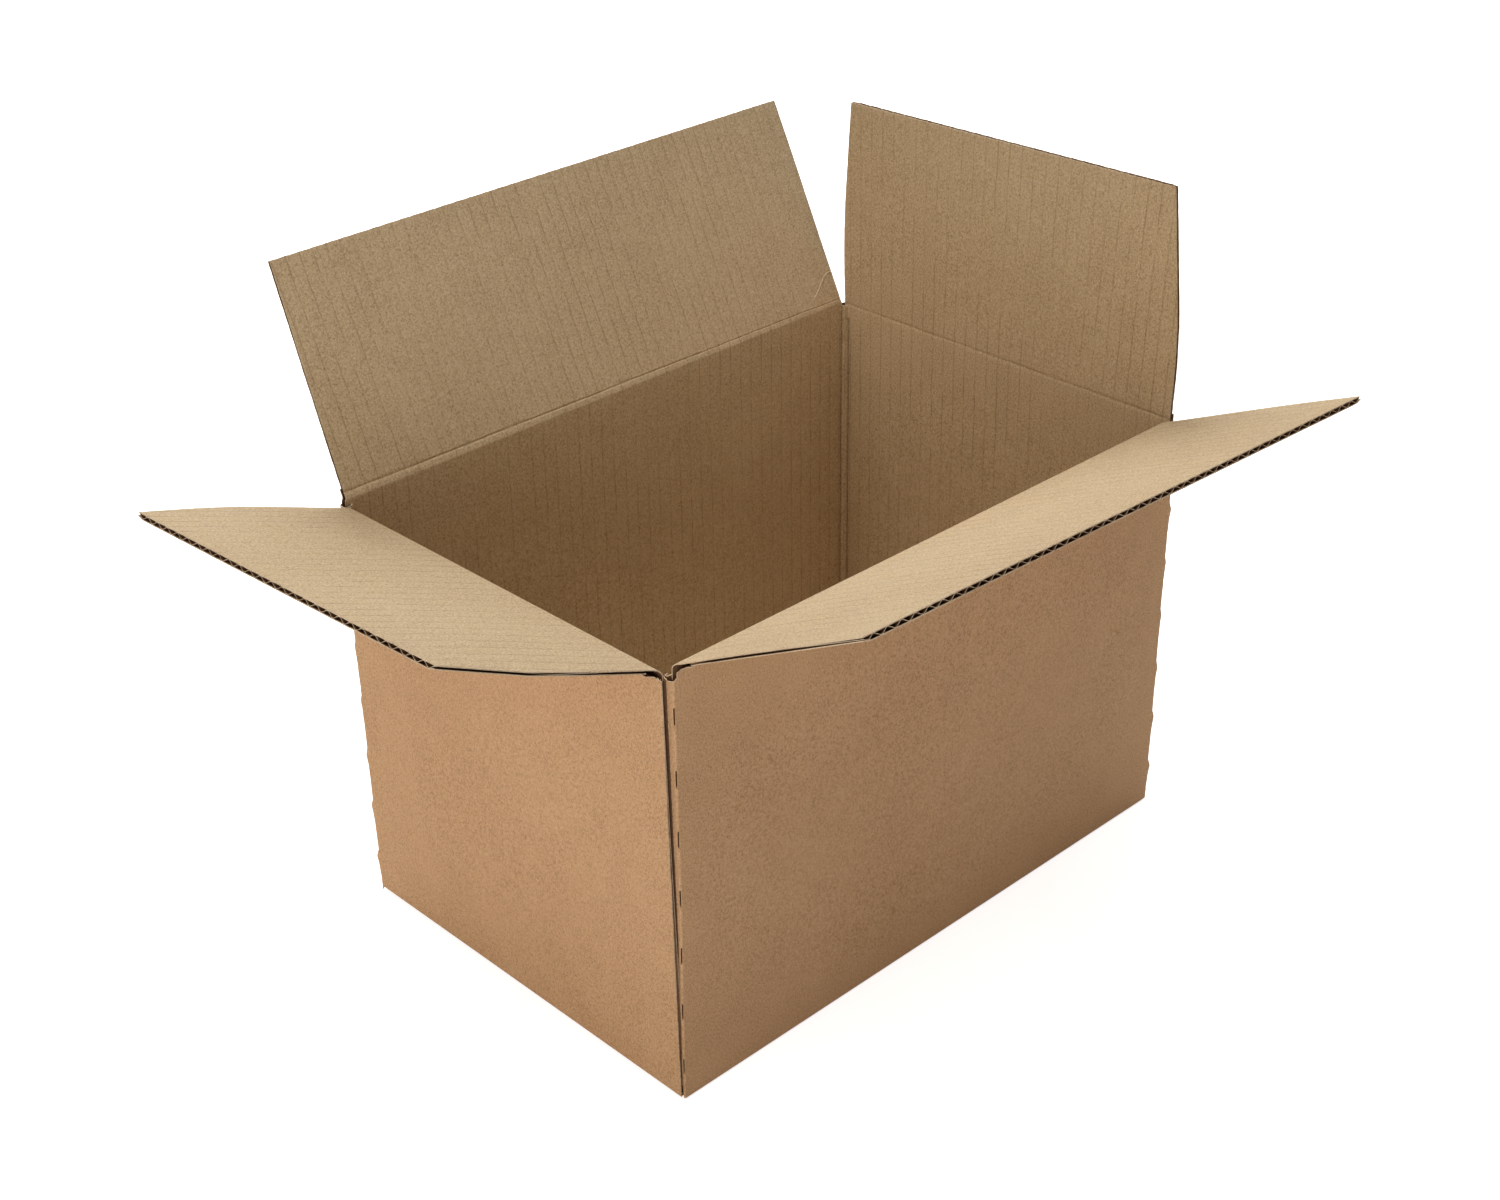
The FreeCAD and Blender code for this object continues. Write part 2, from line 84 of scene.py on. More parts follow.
@dataclass(frozen=True)
class Board:
    """Single-wall board: two liners glued to a waved medium. Sizes in millimetres."""

    caliper: float = 3.0
    liner: float = 0.4
    medium: float = 0.24
    pitch: float = 6.8
    groove: float = 0.05
    groove_width: float = 0.5
    swell: float = 0.05

    def medium_height(self, u: Array, offset: float) -> Array:
        """Height of the medium's middle above the outside liner's face.

        Args:
            u: positions along the sheet.
            offset: run of the sheet before u = 0, which sets the phase of the flutes.
        Returns:
            The height at each position.
        """
        swing = self.caliper / 2 - self.liner - self.medium / 2 + 0.02
        return self.caliper / 2 + swing * np.cos((u + offset) * 2 * math.pi / self.pitch)

    def inside_relief(self, u: Array, offset: float) -> Array:
        """Washboard of the inside liner: a narrow groove over each glued crest.

        Args:
            u: positions along the sheet.
            offset: run of the sheet before u = 0.
        Returns:
            The height of the liner's face above its flat plane.
        """
        from_crest = np.abs((u + offset + self.pitch / 2) % self.pitch - self.pitch / 2)
        swelling = self.swell * np.sin(from_crest / self.pitch * math.pi) ** 2
        return swelling - self.groove * np.exp(-((from_crest / self.groove_width) ** 2))

    def columns(self, start: float, end: float, offset: float, steps: tuple[float, ...]) -> Array:
        """Positions between start and end that keep step with the flutes.

        Args:
            start: first position.
            end: last position.
            offset: run of the sheet before u = 0.
            steps: fractions of a flute at which to place a column.
        Returns:
            The positions in order, both ends with them.
        """
        first = math.floor((start + offset) / self.pitch)
        last = math.ceil((end + offset) / self.pitch)
        places = [(k + s) * self.pitch - offset for k in range(first, last + 1) for s in steps]
        inner = [p for p in places if start + 0.05 < p < end - 0.05]
        return np.array([start, *inner, end])


BOARD = Board()
FINE_STEPS = (0.0, 0.07, 0.16, 0.32, 0.5, 0.68, 0.84, 0.93)
EVEN_STEPS = (0.0, 0.25, 0.5, 0.75)
WAVE_STEPS = tuple(k / 10 for k in range(10))


def wander(x: Array, seed: float, reach: float) -> Array:
    """A smooth uneven line for cut and torn edges.

    Args:
        x: positions along the edge in millimetres.
        seed: picks the line.
        reach: largest departure, in millimetres.
    Returns:
        The departure at each position.
    """
    waves = np.sin(0.83 * x + 2.1 * seed) + 0.7 * np.sin(1.9 * x + 5.3 * seed)
    waves = waves + 0.5 * np.sin(0.21 * x + 1.3 * seed) + 0.4 * np.sin(4.3 * x + 0.7 * seed)
    return waves * reach / 2.6


def ease(x: Array, start: float, end: float) -> Array:
    """A smooth step.

    Args:
        x: positions.
        start: where the step begins.
        end: where the step is done.
    Returns:
        0 before start, 1 after end and smooth between them.
    """
    t = np.clip((x - start) / (end - start), 0.0, 1.0)
    return t * t * (3 - 2 * t)


@dataclass(frozen=True)
class Panel:
    """A flat area of the sheet: u along its crease, v away from it, n inwards from the outside."""

    origin: Array
    along: Array
    run: Array
    inward: Array

    def points(self, u: Array, v: Array, n: Array) -> Array:
        """Points in millimetres for broadcast u, v and n."""
        u, v, n = np.broadcast_arrays(u, v, n)
        shift = u[..., None] * self.along + v[..., None] * self.run
        return self.origin + shift + n[..., None] * self.inward


@dataclass(frozen=True)
class Side:
    """One side of the box with its wall, its top crease and its flaps."""

    name: str
    out: tuple[float, float, float]
    reach: float
    half: float
    crease: float
    opened: float
    offset: float
    lifted: tuple[float, float] = (0.0, 0.0)

    @property
    def outward(self) -> Array:
        """Unit vector out of the wall."""
        return np.array(self.out)

    @property
    def along(self) -> Array:
        """Unit vector along the crease."""
        return np.cross(self.outward, UP)

    @property
    def leaf(self) -> Array:
        """Unit vector from the crease to the flap's outer edge."""
        angle = math.radians(self.opened)
        return self.outward * math.cos(angle) + UP * math.sin(angle)

    def wall(self) -> Panel:
        """The wall, with v the height above the ground."""
        return Panel(self.outward * self.reach, self.along, UP, -self.outward)

    def flap(self) -> Panel:
        """The top flap, with v the distance from its crease."""
        angle = math.radians(self.opened)
        inward = -self.outward * math.sin(angle) + UP * math.cos(angle)
        return Panel(self.hinge(), self.along, self.leaf, inward)

    def bottom(self, height: float) -> Panel:
        """The bottom flap at a height, with v the distance from the wall's face."""
        origin = self.outward * self.reach + UP * height
        return Panel(origin, self.along, -self.outward, UP)

    def rise(self, u: Array) -> Array:
        """How far the crease, raised by use, stands above its nominal height."""
        return self.lifted[0] + self.lifted[1] * u / self.half

    def hinge(self) -> Array:
        """Middle of the crease line in millimetres."""
        return self.outward * self.reach + UP * self.crease


LEFT = Side("left", (-1.0, 0.0, 0.0), HALF_LENGTH, HALF_WIDTH, LOW_CREASE, 22.5, 0.0, (0.8, -1.4))
BACK = Side("back", (0.0, 1.0, 0.0), HALF_WIDTH, HALF_LENGTH, TALL_CREASE, 64.5, 255.0)
RIGHT = Side("right", (1.0, 0.0, 0.0), HALF_LENGTH, HALF_WIDTH, LOW_CREASE, 89.0, 510.0, (1.0, 1.0))
FRONT = Side("front", (0.0, -1.0, 0.0), HALF_WIDTH, HALF_LENGTH, TALL_CREASE, 26.1, 765.0, (0.95, 0.95))
HINGE_INSETS: dict[str, tuple[float, float]] = {
    "left": (5.4, 6.0),
    "back": (1.8, 5.4),
    "right": (2.8, 2.6),
    "front": (8.6, 5.2),
}


@dataclass
class BoardMesh:
    """Closed shells of paper gathered into one mesh, in millimetres."""

    name: str
    points: list[Array] = field(default_factory=list)
    marks: list[Array] = field(default_factory=list)
    wear_and_highlight: list[Array] = field(default_factory=list)
    faces: list[list[int]] = field(default_factory=list)
    finishes: list[int] = field(default_factory=list)
    count: int = 0

    def add_slab(
        self,
        front: Array,
        back: Array,
        marks: Array,
        finishes: tuple[Finish, Finish, Finish],
        wear_and_highlight: Array | None = None,
    ) -> None:
        """Adds a closed shell between two grids of points.

        Args:
            front: points of one face, rows by columns by 3.
            back: points of the other face, in the same order.
            marks: sheet coordinates of the points, rows by columns by 2.
            finishes: finishes of the front, the back and the rim.
            wear_and_highlight: how pale each point is painted, from 0 to 1, rows by columns: scuffing
                near cut edges, painted highlight at the top creases and the back flap's ridge.
        """
        rows, cols = front.shape[:2]
        scuff_and_highlight = np.zeros((rows, cols)) if wear_and_highlight is None else np.broadcast_to(wear_and_highlight, (rows, cols))
        flat = np.concatenate([front.reshape(-1, 3), back.reshape(-1, 3)])
        keys = np.round(flat / MERGE_STEP).astype(np.int64)
        _, first, inverse = np.unique(keys, axis=0, return_index=True, return_inverse=True)
        inverse = inverse.reshape(-1)
        index = np.arange(rows * cols).reshape(rows, cols)
        under = index + rows * cols
        quads = [
            self._grid(index),
            self._grid(under)[:, ::-1],
            self._strip(index[0, ::-1], under[0, ::-1]),
            self._strip(index[-1], under[-1]),
            self._strip(index[:, 0], under[:, 0]),
            self._strip(index[::-1, -1], under[::-1, -1]),
        ]
        kinds = [finishes[0], finishes[1], finishes[2], finishes[2], finishes[2], finishes[2]]
        kind = np.concatenate([np.full(len(q), k.value) for q, k in zip(quads, kinds)])
        faces = inverse[np.concatenate(quads)]
        spots = flat[first]
        if self._volume(spots, faces) < 0:
            faces = faces[:, ::-1]
        for quad, tone in zip(faces.tolist(), kind.tolist()):
            ring = [p for p, q in zip(quad, quad[1:] + quad[:1]) if p != q]
            if len(ring) > 2 and len(set(ring)) == len(ring):
                self.faces.append([p + self.count for p in ring])
                self.finishes.append(tone)
        both = np.concatenate([marks.reshape(-1, 2)] * 2)
        self.points.append(spots)
        self.marks.append(both[first])
        self.wear_and_highlight.append(np.concatenate([scuff_and_highlight.reshape(-1)] * 2)[first])
        self.count += len(spots)

    @staticmethod
    def _grid(index: Array) -> Array:
        """Quads over a grid of indices."""
        corners = (index[:-1, :-1], index[:-1, 1:], index[1:, 1:], index[1:, :-1])
        return np.stack([c.reshape(-1) for c in corners], axis=1)

    @staticmethod
    def _strip(near: Array, far: Array) -> Array:
        """Quads between two rows of indices."""
        return np.stack([near[:-1], near[1:], far[1:], far[:-1]], axis=1)

    @staticmethod
    def _volume(spots: Array, faces: Array) -> float:
        """Signed volume inside the faces, for the turn of the shell."""
        a, b, c, d = (spots[faces[:, k]] for k in range(4))
        cones = np.cross(b, c) + np.cross(c, d)
        return float(np.einsum("ij,ij->", a, cones))

    def build(self, materials: list[bpy.types.Material]) -> bpy.types.Object:
        """Makes the mesh object.

        Args:
            materials: one material for each finish, in the order of Finish.
        Returns:
            The object, linked to the scene.
        """
        mesh = bpy.data.meshes.new(self.name)
        mesh.from_pydata((np.concatenate(self.points) * MM).tolist(), [], self.faces)
        mesh.polygons.foreach_set("material_index", np.array(self.finishes, np.int32))
        corners = np.empty(len(mesh.loops), np.int32)
        mesh.loops.foreach_get("vertex_index", corners)
        layer = mesh.uv_layers.new(name="board")
        sheet = np.concatenate(self.marks) * MM
        layer.data.foreach_set("uv", sheet[corners].reshape(-1).astype(np.float32))
        scuff_and_highlight = mesh.attributes.new("wear_and_highlight", "FLOAT", "POINT")
        scuff_and_highlight.data.foreach_set("value", np.concatenate(self.wear_and_highlight).astype(np.float32))
        for material in materials:
            mesh.materials.append(material)
        mesh.shade_smooth()
        mesh.set_sharp_from_angle(angle=SHARP_ANGLE)
        mesh.update()
        piece = bpy.data.objects.new(self.name, mesh)
        bpy.context.scene.collection.objects.link(piece)
        return piece


@dataclass
class BoardArea:
    """Three layers of board over one panel between uneven edges."""

    panel: Panel
    offset: float
    start: float
    end: float
    low: Callable[[Array], Array]
    high: Callable[[Array], Array]
    lift: Callable[[Array, Array], Array]
    fade: float = 6.0
    seed: float = 1.0
    mark_shift: float = 0.0
    outer_trim: Callable[[Array], Array] | None = None
    rise: Callable[[Array], Array] | None = None
    rows: int = 26
    edge_crush: float = 0.55
    side_crush: float = 1.3

    def add_to(self, mesh: BoardMesh) -> None:
        """Adds the outside liner, the medium and the inside liner to a mesh."""
        board = BOARD
        v = self._rows()
        lower = self.low(v)
        upper = self.high(v)
        trim = np.zeros_like(v) if self.outer_trim is None else self.outer_trim(v)
        reach = (float(lower.min()), float(upper.max()))

        u, w = self._grid(board.columns(*reach, self.offset, FINE_STEPS), v, lower, upper, 1.0)
        crush = ease(w, self.start, self.start + self.fade)
        face = board.caliper + board.inside_relief(u, self.offset) * crush
        self._slab(mesh, u, w, face, face - board.liner, Finish.INSIDE)

        u, w = self._grid(
            board.columns(*reach, self.offset, EVEN_STEPS), v, lower, upper - trim, 2.0
        )
        skin = wander(u, self.seed, 0.02) + self._press(u, w)
        self._slab(mesh, u, w, skin, skin + board.liner, Finish.OUTSIDE)

        inner = np.array([self.start, self.start + 6, (self.start + self.end) / 2])
        v = np.array([*inner, self.end - 12, self.end - 4, self.end - 0.12])
        u, w = self._grid(
            board.columns(*reach, self.offset, WAVE_STEPS),
            v,
            self.low(v) + 0.3,
            self.high(v) - 0.3,
            3.0,
        )
        press = self._press(u, w)
        middle = board.medium_height(u, self.offset)
        middle = press + middle * (1 - press / board.caliper)
        half = board.medium / 2
        self._slab(mesh, u, w, middle + half, middle - half, Finish.FLUTING)

    def _press(self, u: Array, v: Array) -> Array:
        """How far the outside is pressed in by the cutting of the edges.

        Args:
            u: positions along the crease.
            v: distances from the crease.
        Returns:
            The depth, in millimetres.
        """
        edge = self.edge_crush * ease(v, self.end - 7, self.end)
        inside = np.minimum(u - self.low(v), self.high(v) - u)
        return np.maximum(edge, self.side_crush * (1 - ease(inside, 0.0, 6.0)))

    def _rows(self) -> Array:
        """Row positions, closer together at both ends."""
        near = self.start + np.array([0, 1, 2.2, 3.8, 6])
        far = self.end - np.array([4.5, 2.6, 1.4, 0.7, 0.25, 0])
        return np.concatenate([near, np.linspace(self.start + 10, self.end - 8, self.rows), far])

    def _grid(
        self, columns: Array, rows: Array, low: Array, high: Array, salt: float
    ) -> tuple[Array, Array]:
        """Grid of u and v held between the uneven edges.

        Args:
            columns: positions along the crease.
            rows: distances from the crease.
            low: lowest u of each row.
            high: highest u of each row.
            salt: varies the edge from layer to layer.
        Returns:
            u and v as rows by columns.
        """
        low = low + wander(rows, self.seed + salt, 0.12)
        high = high + wander(rows, self.seed + 2 * salt, 0.12)
        u = np.clip(columns[None, :], low[:, None], high[:, None])
        v = np.repeat(rows[:, None], len(columns), axis=1)
        trim = wander(u, self.seed + 3 * salt, 0.14) - 0.1
        v = v + trim * ease(v, self.end - 5, self.end)
        return u, v

    def _slab(
        self,
        mesh: BoardMesh,
        u: Array,
        v: Array,
        front: Array,
        back: Array,
        face: Finish,
    ) -> None:
        """Adds one layer between two heights above the outside face.

        Args:
            mesh: the mesh to add to.
            u: positions along the crease.
            v: distances from the crease.
            front: height of the face that shows.
            back: height of the glued face.
            face: finish of the face that shows.
        """
        raised = self.lift(u, v)
        marks = np.stack([u + self.offset, v + self.mark_shift], axis=-1)
        edge = np.minimum(self.end - v, np.minimum(u - u.min(), u.max() - u))
        height = 0 * u if self.rise is None else self.rise(u)
        rise = height[..., None] * UP
        mesh.add_slab(
            self.panel.points(u, v, front + raised) + rise,
            self.panel.points(u, v, back + raised) + rise,
            marks,
            (face, Finish.FLUTING, Finish.CUT_EDGE),
            1.0 - ease(edge, 0.3, 3.0),
        )


@dataclass
class Sheet:
    """A node tree as it is written."""

    tree: bpy.types.NodeTree

    def add(self, kind: str, **settings: object) -> bpy.types.Node:
        """Adds a node and sets its properties."""
        node = self.tree.nodes.new(kind)
        for key, value in settings.items():
            setattr(node, key, value)
        return node

    def feed(self, socket: bpy.types.NodeSocket, value: object) -> None:
        """Links a socket to another or sets its value."""
        if isinstance(value, bpy.types.NodeSocket):
            self.tree.links.new(value, socket)
        else:
            socket.default_value = value

    def math(self, operation: str, *values: object) -> bpy.types.NodeSocket:
        """A Math node's result."""
        node = self.add("ShaderNodeMath", operation=operation)
        for socket, value in zip(node.inputs, values):
            self.feed(socket, value)
        return node.outputs[0]

    def span(
        self, value: object, low: float, high: float, to_low: float, to_high: float
    ) -> bpy.types.NodeSocket:
        """A value mapped smoothly from one range to another.

        Args:
            value: the socket or number to map.
            low: value that gives to_low.
            high: value that gives to_high.
            to_low: result at low.
            to_high: result at high.
        Returns:
            The mapped value.
        """
        node = self.add("ShaderNodeMapRange", interpolation_type="SMOOTHSTEP")
        for socket, item in zip(node.inputs, (value, low, high, to_low, to_high)):
            self.feed(socket, item)
        return node.outputs[0]

    def blend(self, factor: object, first: object, second: object) -> bpy.types.NodeSocket:
        """A colour mixed from two.

        Args:
            factor: share of the second colour.
            first: colour at 0.
            second: colour at 1.
        Returns:
            The mixed colour.
        """
        node = self.add("ShaderNodeMix", data_type="RGBA")
        self.feed(node.inputs[0], factor)
        self.feed(node.inputs[6], first)
        self.feed(node.inputs[7], second)
        return node.outputs[2]

    def noise(
        self, where: object, scale: float, detail: float, rough: float = 0.5
    ) -> bpy.types.NodeSocket:
        """A noise value over some coordinates.

        Args:
            where: the coordinates.
            scale: how fine the noise is.
            detail: number of octaves.
            rough: strength of the finer octaves.
        Returns:
            The noise, from 0 to 1.
        """
        node = self.add("ShaderNodeTexNoise")
        self.feed(node.inputs["Vector"], where)
        node.inputs["Scale"].default_value = scale
        node.inputs["Detail"].default_value = detail
        node.inputs["Roughness"].default_value = rough
        return node.outputs[0]

    def stretch(self, where: object, scale: tuple[float, float, float]) -> bpy.types.NodeSocket:
        """Coordinates scaled unevenly."""
        node = self.add("ShaderNodeVectorMath", operation="MULTIPLY")
        self.feed(node.inputs[0], where)
        node.inputs[1].default_value = scale
        return node.outputs[0]


def open_group(name: str, ports: tuple[tuple[str, str, str], ...]) -> Sheet:
    """Starts a shader node group.

    Args:
        name: the group's name.
        ports: name, direction and socket type of each port.
    Returns:
        The group's tree with its input and output nodes.
    """
    tree = bpy.data.node_groups.new(name, "ShaderNodeTree")
    for label, way, kind in ports:
        tree.interface.new_socket(name=label, in_out=way, socket_type=kind)
    return Sheet(tree)


FLOAT = "NodeSocketFloat"
COLOUR = "NodeSocketColor"


def make_fibre_group() -> bpy.types.NodeTree:
    """Kraft paper: cloudy tone, fine fibres and dark and pale flecks.

    Returns:
        The group, with a colour, a height and a roughness that vary over the paper.
    """
    sheet = open_group(
        "kraft fibres",
        (
            ("Tone", "INPUT", COLOUR),
            ("Dark", "INPUT", COLOUR),
            ("Pale", "INPUT", COLOUR),
            ("Cloud", "INPUT", FLOAT),
            ("Grain", "INPUT", FLOAT),
            ("Colour", "OUTPUT", COLOUR),
            ("Height", "OUTPUT", FLOAT),
            ("Roughness", "OUTPUT", FLOAT),
        ),
    )
    inputs = sheet.add("NodeGroupInput").outputs
    where = sheet.add("ShaderNodeTexCoord").outputs["Object"]
    broad = sheet.noise(where, 9.0, 3.0)
    cloudy = sheet.noise(where, 60.0, 4.0, 0.6)
    fibres = sheet.noise(sheet.stretch(where, (1.0, 1.0, 0.8)), 1000.0, 3.0, 0.7)
    fine = sheet.noise(where, 1500.0, 2.0, 0.6)
    flecks = sheet.noise(sheet.stretch(where, (1.0, 1.0, 0.7)), 520.0, 1.0, 0.5)
    cloud = sheet.span(broad, 0.3, 0.7, -0.5, 0.5)
    cloud = sheet.math("ADD", cloud, sheet.span(cloudy, 0.3, 0.7, -0.5, 0.5))
    grain = sheet.span(fibres, 0.25, 0.75, -0.5, 0.5)
    grain = sheet.math("ADD", grain, sheet.span(fine, 0.25, 0.75, -0.6, 0.6))
    tilt = sheet.math("MULTIPLY", cloud, inputs["Cloud"])
    tilt = sheet.math("MULTIPLY_ADD", grain, inputs["Grain"], tilt)
    shade = sheet.math("MULTIPLY", tilt, -1.0)
    colour = sheet.blend(shade, inputs["Tone"], inputs["Dark"])
    colour = sheet.blend(tilt, colour, inputs["Pale"])
    dark_spots = sheet.span(flecks, 0.74, 0.80, 0.0, 0.3)
    colour = sheet.blend(dark_spots, colour, inputs["Dark"])
    pale_spots = sheet.span(flecks, 0.27, 0.21, 0.0, 0.25)
    colour = sheet.blend(pale_spots, colour, inputs["Pale"])
    out = sheet.add("NodeGroupOutput").inputs
    sheet.feed(out["Colour"], colour)
    sheet.feed(out["Height"], grain)
    sheet.feed(out["Roughness"], sheet.span(cloudy, 0.3, 0.7, 0.72, 0.92))
    return sheet.tree


def make_flute_group() -> bpy.types.NodeTree:
    """Uneven dark lines over the glued crests of the medium.

    Returns:
        The group, with a mask of the lines and the height of their grooves.
    """
    sheet = open_group(
        "flute lines",
        (
            ("Pitch", "INPUT", FLOAT),
            ("Width", "INPUT", FLOAT),
            ("Line", "OUTPUT", FLOAT),
            ("Height", "OUTPUT", FLOAT),
        ),
    )
    inputs = sheet.add("NodeGroupInput").outputs
    uv = sheet.add("ShaderNodeUVMap", uv_map="board").outputs[0]
    split = sheet.add("ShaderNodeSeparateXYZ")
    sheet.feed(split.inputs[0], uv)
    waver = sheet.noise(uv, 70.0, 2.0)
    sway = sheet.math("SUBTRACT", waver, 0.5)
    along = sheet.math("MULTIPLY_ADD", sway, FLUTE_WAVER, split.outputs[0])
    turns = sheet.math("DIVIDE", along, inputs["Pitch"])
    phase = sheet.math("SUBTRACT", turns, sheet.math("ROUND", turns))
    away = sheet.math("MULTIPLY", sheet.math("ABSOLUTE", phase), inputs["Pitch"])
    core = sheet.math("DIVIDE", away, inputs["Width"])
    near = sheet.span(core, 0.0, 1.0, 1.0, 0.0)
    dashes = sheet.noise(sheet.stretch(uv, (150.0, 60.0, 1.0)), 1.0, 3.0, 0.6)
    broken = sheet.span(dashes, 0.34, 0.58, 0.25, 1.0)
    patches = sheet.noise(uv, 14.0, 2.0)
    faint = sheet.span(patches, 0.35, 0.62, 0.35, 1.0)
    line = sheet.math("MULTIPLY", near, sheet.math("MULTIPLY", broken, faint))
    out = sheet.add("NodeGroupOutput").inputs
    sheet.feed(out["Line"], line)
    sheet.feed(out["Height"], sheet.math("MULTIPLY", near, -1.0))
    return sheet.tree


def make_wear_and_highlight_group() -> bpy.types.NodeTree:
    """Paler paper in patches: scuffed near cut edges, paler lips beside the fold slits, and painted
    highlight along the top creases and on the back flap's ridge.

    Returns:
        The group, with a mask of the paler paper.
    """
    sheet = open_group(
        "edge wear",
        (("Amount", "INPUT", FLOAT), ("Mask", "OUTPUT", FLOAT)),
    )
    inputs = sheet.add("NodeGroupInput").outputs
    scuff_and_highlight = sheet.add("ShaderNodeAttribute", attribute_name="wear_and_highlight").outputs["Fac"]
    where = sheet.add("ShaderNodeTexCoord").outputs["Object"]
    patchy = sheet.noise(where, 230.0, 4.0, 0.65)
    mask = sheet.math("MULTIPLY", scuff_and_highlight, sheet.span(patchy, 0.42, 0.62, 0.0, 1.0))
    out = sheet.add("NodeGroupOutput").inputs
    sheet.feed(out["Mask"], sheet.math("MULTIPLY", mask, inputs["Amount"]))
    return sheet.tree


def rgb(red: float, green: float, blue: float) -> tuple[float, float, float, float]:
    """A colour given in 0-255 screen values.

    Args:
        red: red channel.
        green: green channel.
        blue: blue channel.
    Returns:
        The colour as linear light, with an alpha of 1.
    """
    channels = [c / 255 for c in (red, green, blue)]
    light = [c / 12.92 if c <= 0.04045 else ((c + 0.055) / 1.055) ** 2.4 for c in channels]
    return (*light, 1.0)


@dataclass(frozen=True)
class PaperFinish:
    """One paper surface of the board."""

    name: str
    tone: tuple[float, float, float]
    dark: tuple[float, float, float]
    pale: tuple[float, float, float]
    cloud: float = 0.25
    grain: float = 0.35
    lines: float = 0.0
    line_width: float = 0.0009
    line_tone: tuple[float, float, float] = (110, 82, 56)
    # Pale tone for scuffed paper, also painted as a highlight along the top creases and the back flap's
    # ridge.
    wear_and_highlight_tone: tuple[float, float, float] = (214, 190, 156)
    wear_and_highlight: float = 0.4
    bump: float = 0.12
    gloss: float = 0.25

    def build(self, groups: dict[str, bpy.types.NodeTree]) -> bpy.types.Material:
        """Makes the material.

        Args:
            groups: the shared node groups by name.
        Returns:
            The material.
        """
        material = bpy.data.materials.new(self.name)
        material.use_nodes = True
        sheet = Sheet(material.node_tree)
        shader = material.node_tree.nodes["Principled BSDF"]
        fibres = sheet.add("ShaderNodeGroup", node_tree=groups["fibres"])
        for label, value in (
            ("Tone", rgb(*self.tone)),
            ("Dark", rgb(*self.dark)),
            ("Pale", rgb(*self.pale)),
            ("Cloud", self.cloud),
            ("Grain", self.grain),
        ):
            fibres.inputs[label].default_value = value
        colour = fibres.outputs["Colour"]
        height = fibres.outputs["Height"]
        wear_and_highlight = sheet.add("ShaderNodeGroup", node_tree=groups["wear_and_highlight"])
        wear_and_highlight.inputs["Amount"].default_value = self.wear_and_highlight
        # Paler in patches: scuffing near cut edges, painted highlight at the top creases and the ridge.
        colour = sheet.blend(wear_and_highlight.outputs["Mask"], colour, rgb(*self.wear_and_highlight_tone))
        if self.lines > 0:
            flutes = sheet.add("ShaderNodeGroup", node_tree=groups["flutes"])
            flutes.inputs["Pitch"].default_value = BOARD.pitch * MM
            flutes.inputs["Width"].default_value = self.line_width
            mask = sheet.math("MULTIPLY", flutes.outputs["Line"], self.lines)
            colour = sheet.blend(mask, colour, rgb(*self.line_tone))
            height = sheet.math("MULTIPLY_ADD", flutes.outputs["Height"], FLUTE_BUMP, height)
        bump = sheet.add("ShaderNodeBump")
        bump.inputs["Strength"].default_value = self.bump
        bump.inputs["Distance"].default_value = BUMP_DEPTH
        sheet.feed(bump.inputs["Height"], height)
        sheet.feed(shader.inputs["Base Color"], colour)
        sheet.feed(shader.inputs["Roughness"], fibres.outputs["Roughness"])
        sheet.feed(shader.inputs["Normal"], bump.outputs[0])
        shader.inputs["Specular IOR Level"].default_value = self.gloss
        return material


OUTSIDE = PaperFinish(
    "kraft liner, outside",
    tone=(217, 173, 129),
    dark=(166, 120, 82),
    pale=(236, 199, 157),
    cloud=0.16,
    grain=0.75,
    wear_and_highlight=0.35,
)
INSIDE = PaperFinish(
    "kraft liner, inside",
    tone=(205, 178, 138),
    dark=(160, 128, 92),
    pale=(224, 204, 168),
    cloud=0.16,
    grain=0.95,
    lines=0.42,
    line_width=0.0006,
    line_tone=(126, 90, 58),
    wear_and_highlight=0.3,
    gloss=0.6,
)
FLUTING = PaperFinish(
    "fluting medium",
    tone=(136, 98, 68),
    dark=(84, 58, 40),
    pale=(170, 134, 98),
    cloud=0.35,
    grain=0.4,
    wear_and_highlight=0.0,
)
CUT_EDGE = PaperFinish(
    "cut board edge",
    tone=(222, 196, 162),
    dark=(150, 116, 84),
    pale=(240, 222, 194),
    cloud=0.5,
    grain=0.6,
    wear_and_highlight=0.2,
)


def make_finishes() -> list[bpy.types.Material]:
    """Makes the node groups and the materials.

    Returns:
        The four materials in the order of Finish.
    """
    groups = {
        "fibres": make_fibre_group(),
        "flutes": make_flute_group(),
        "wear_and_highlight": make_wear_and_highlight_group(),
    }
    return [paper.build(groups) for paper in (OUTSIDE, INSIDE, FLUTING, CUT_EDGE)]


def measure_line(pairs: Pairs) -> Callable[[Array], Array]:
    """A measure that is given at some distances from the crease.

    Args:
        pairs: distance from the crease and measure there, in order.
    Returns:
        The measure for each distance from the crease.
    """
    where = [v for v, _ in pairs]
    measure = [m for _, m in pairs]
    return lambda v: np.interp(v, where, measure)


def inset_line(side: Side, pairs: Pairs, sign: int) -> Callable[[Array], Array]:
    """Edge of a flap from its insets.

    Args:
        side: the side that the flap belongs to.
        pairs: distance from the crease and inset from the wall's corner, in order.
        sign: -1 for the low end of u and 1 for the high end.
    Returns:
        u of the edge for each distance from the crease.
    """
    inset = measure_line(pairs)
    return lambda v: sign * (side.half - inset(v))


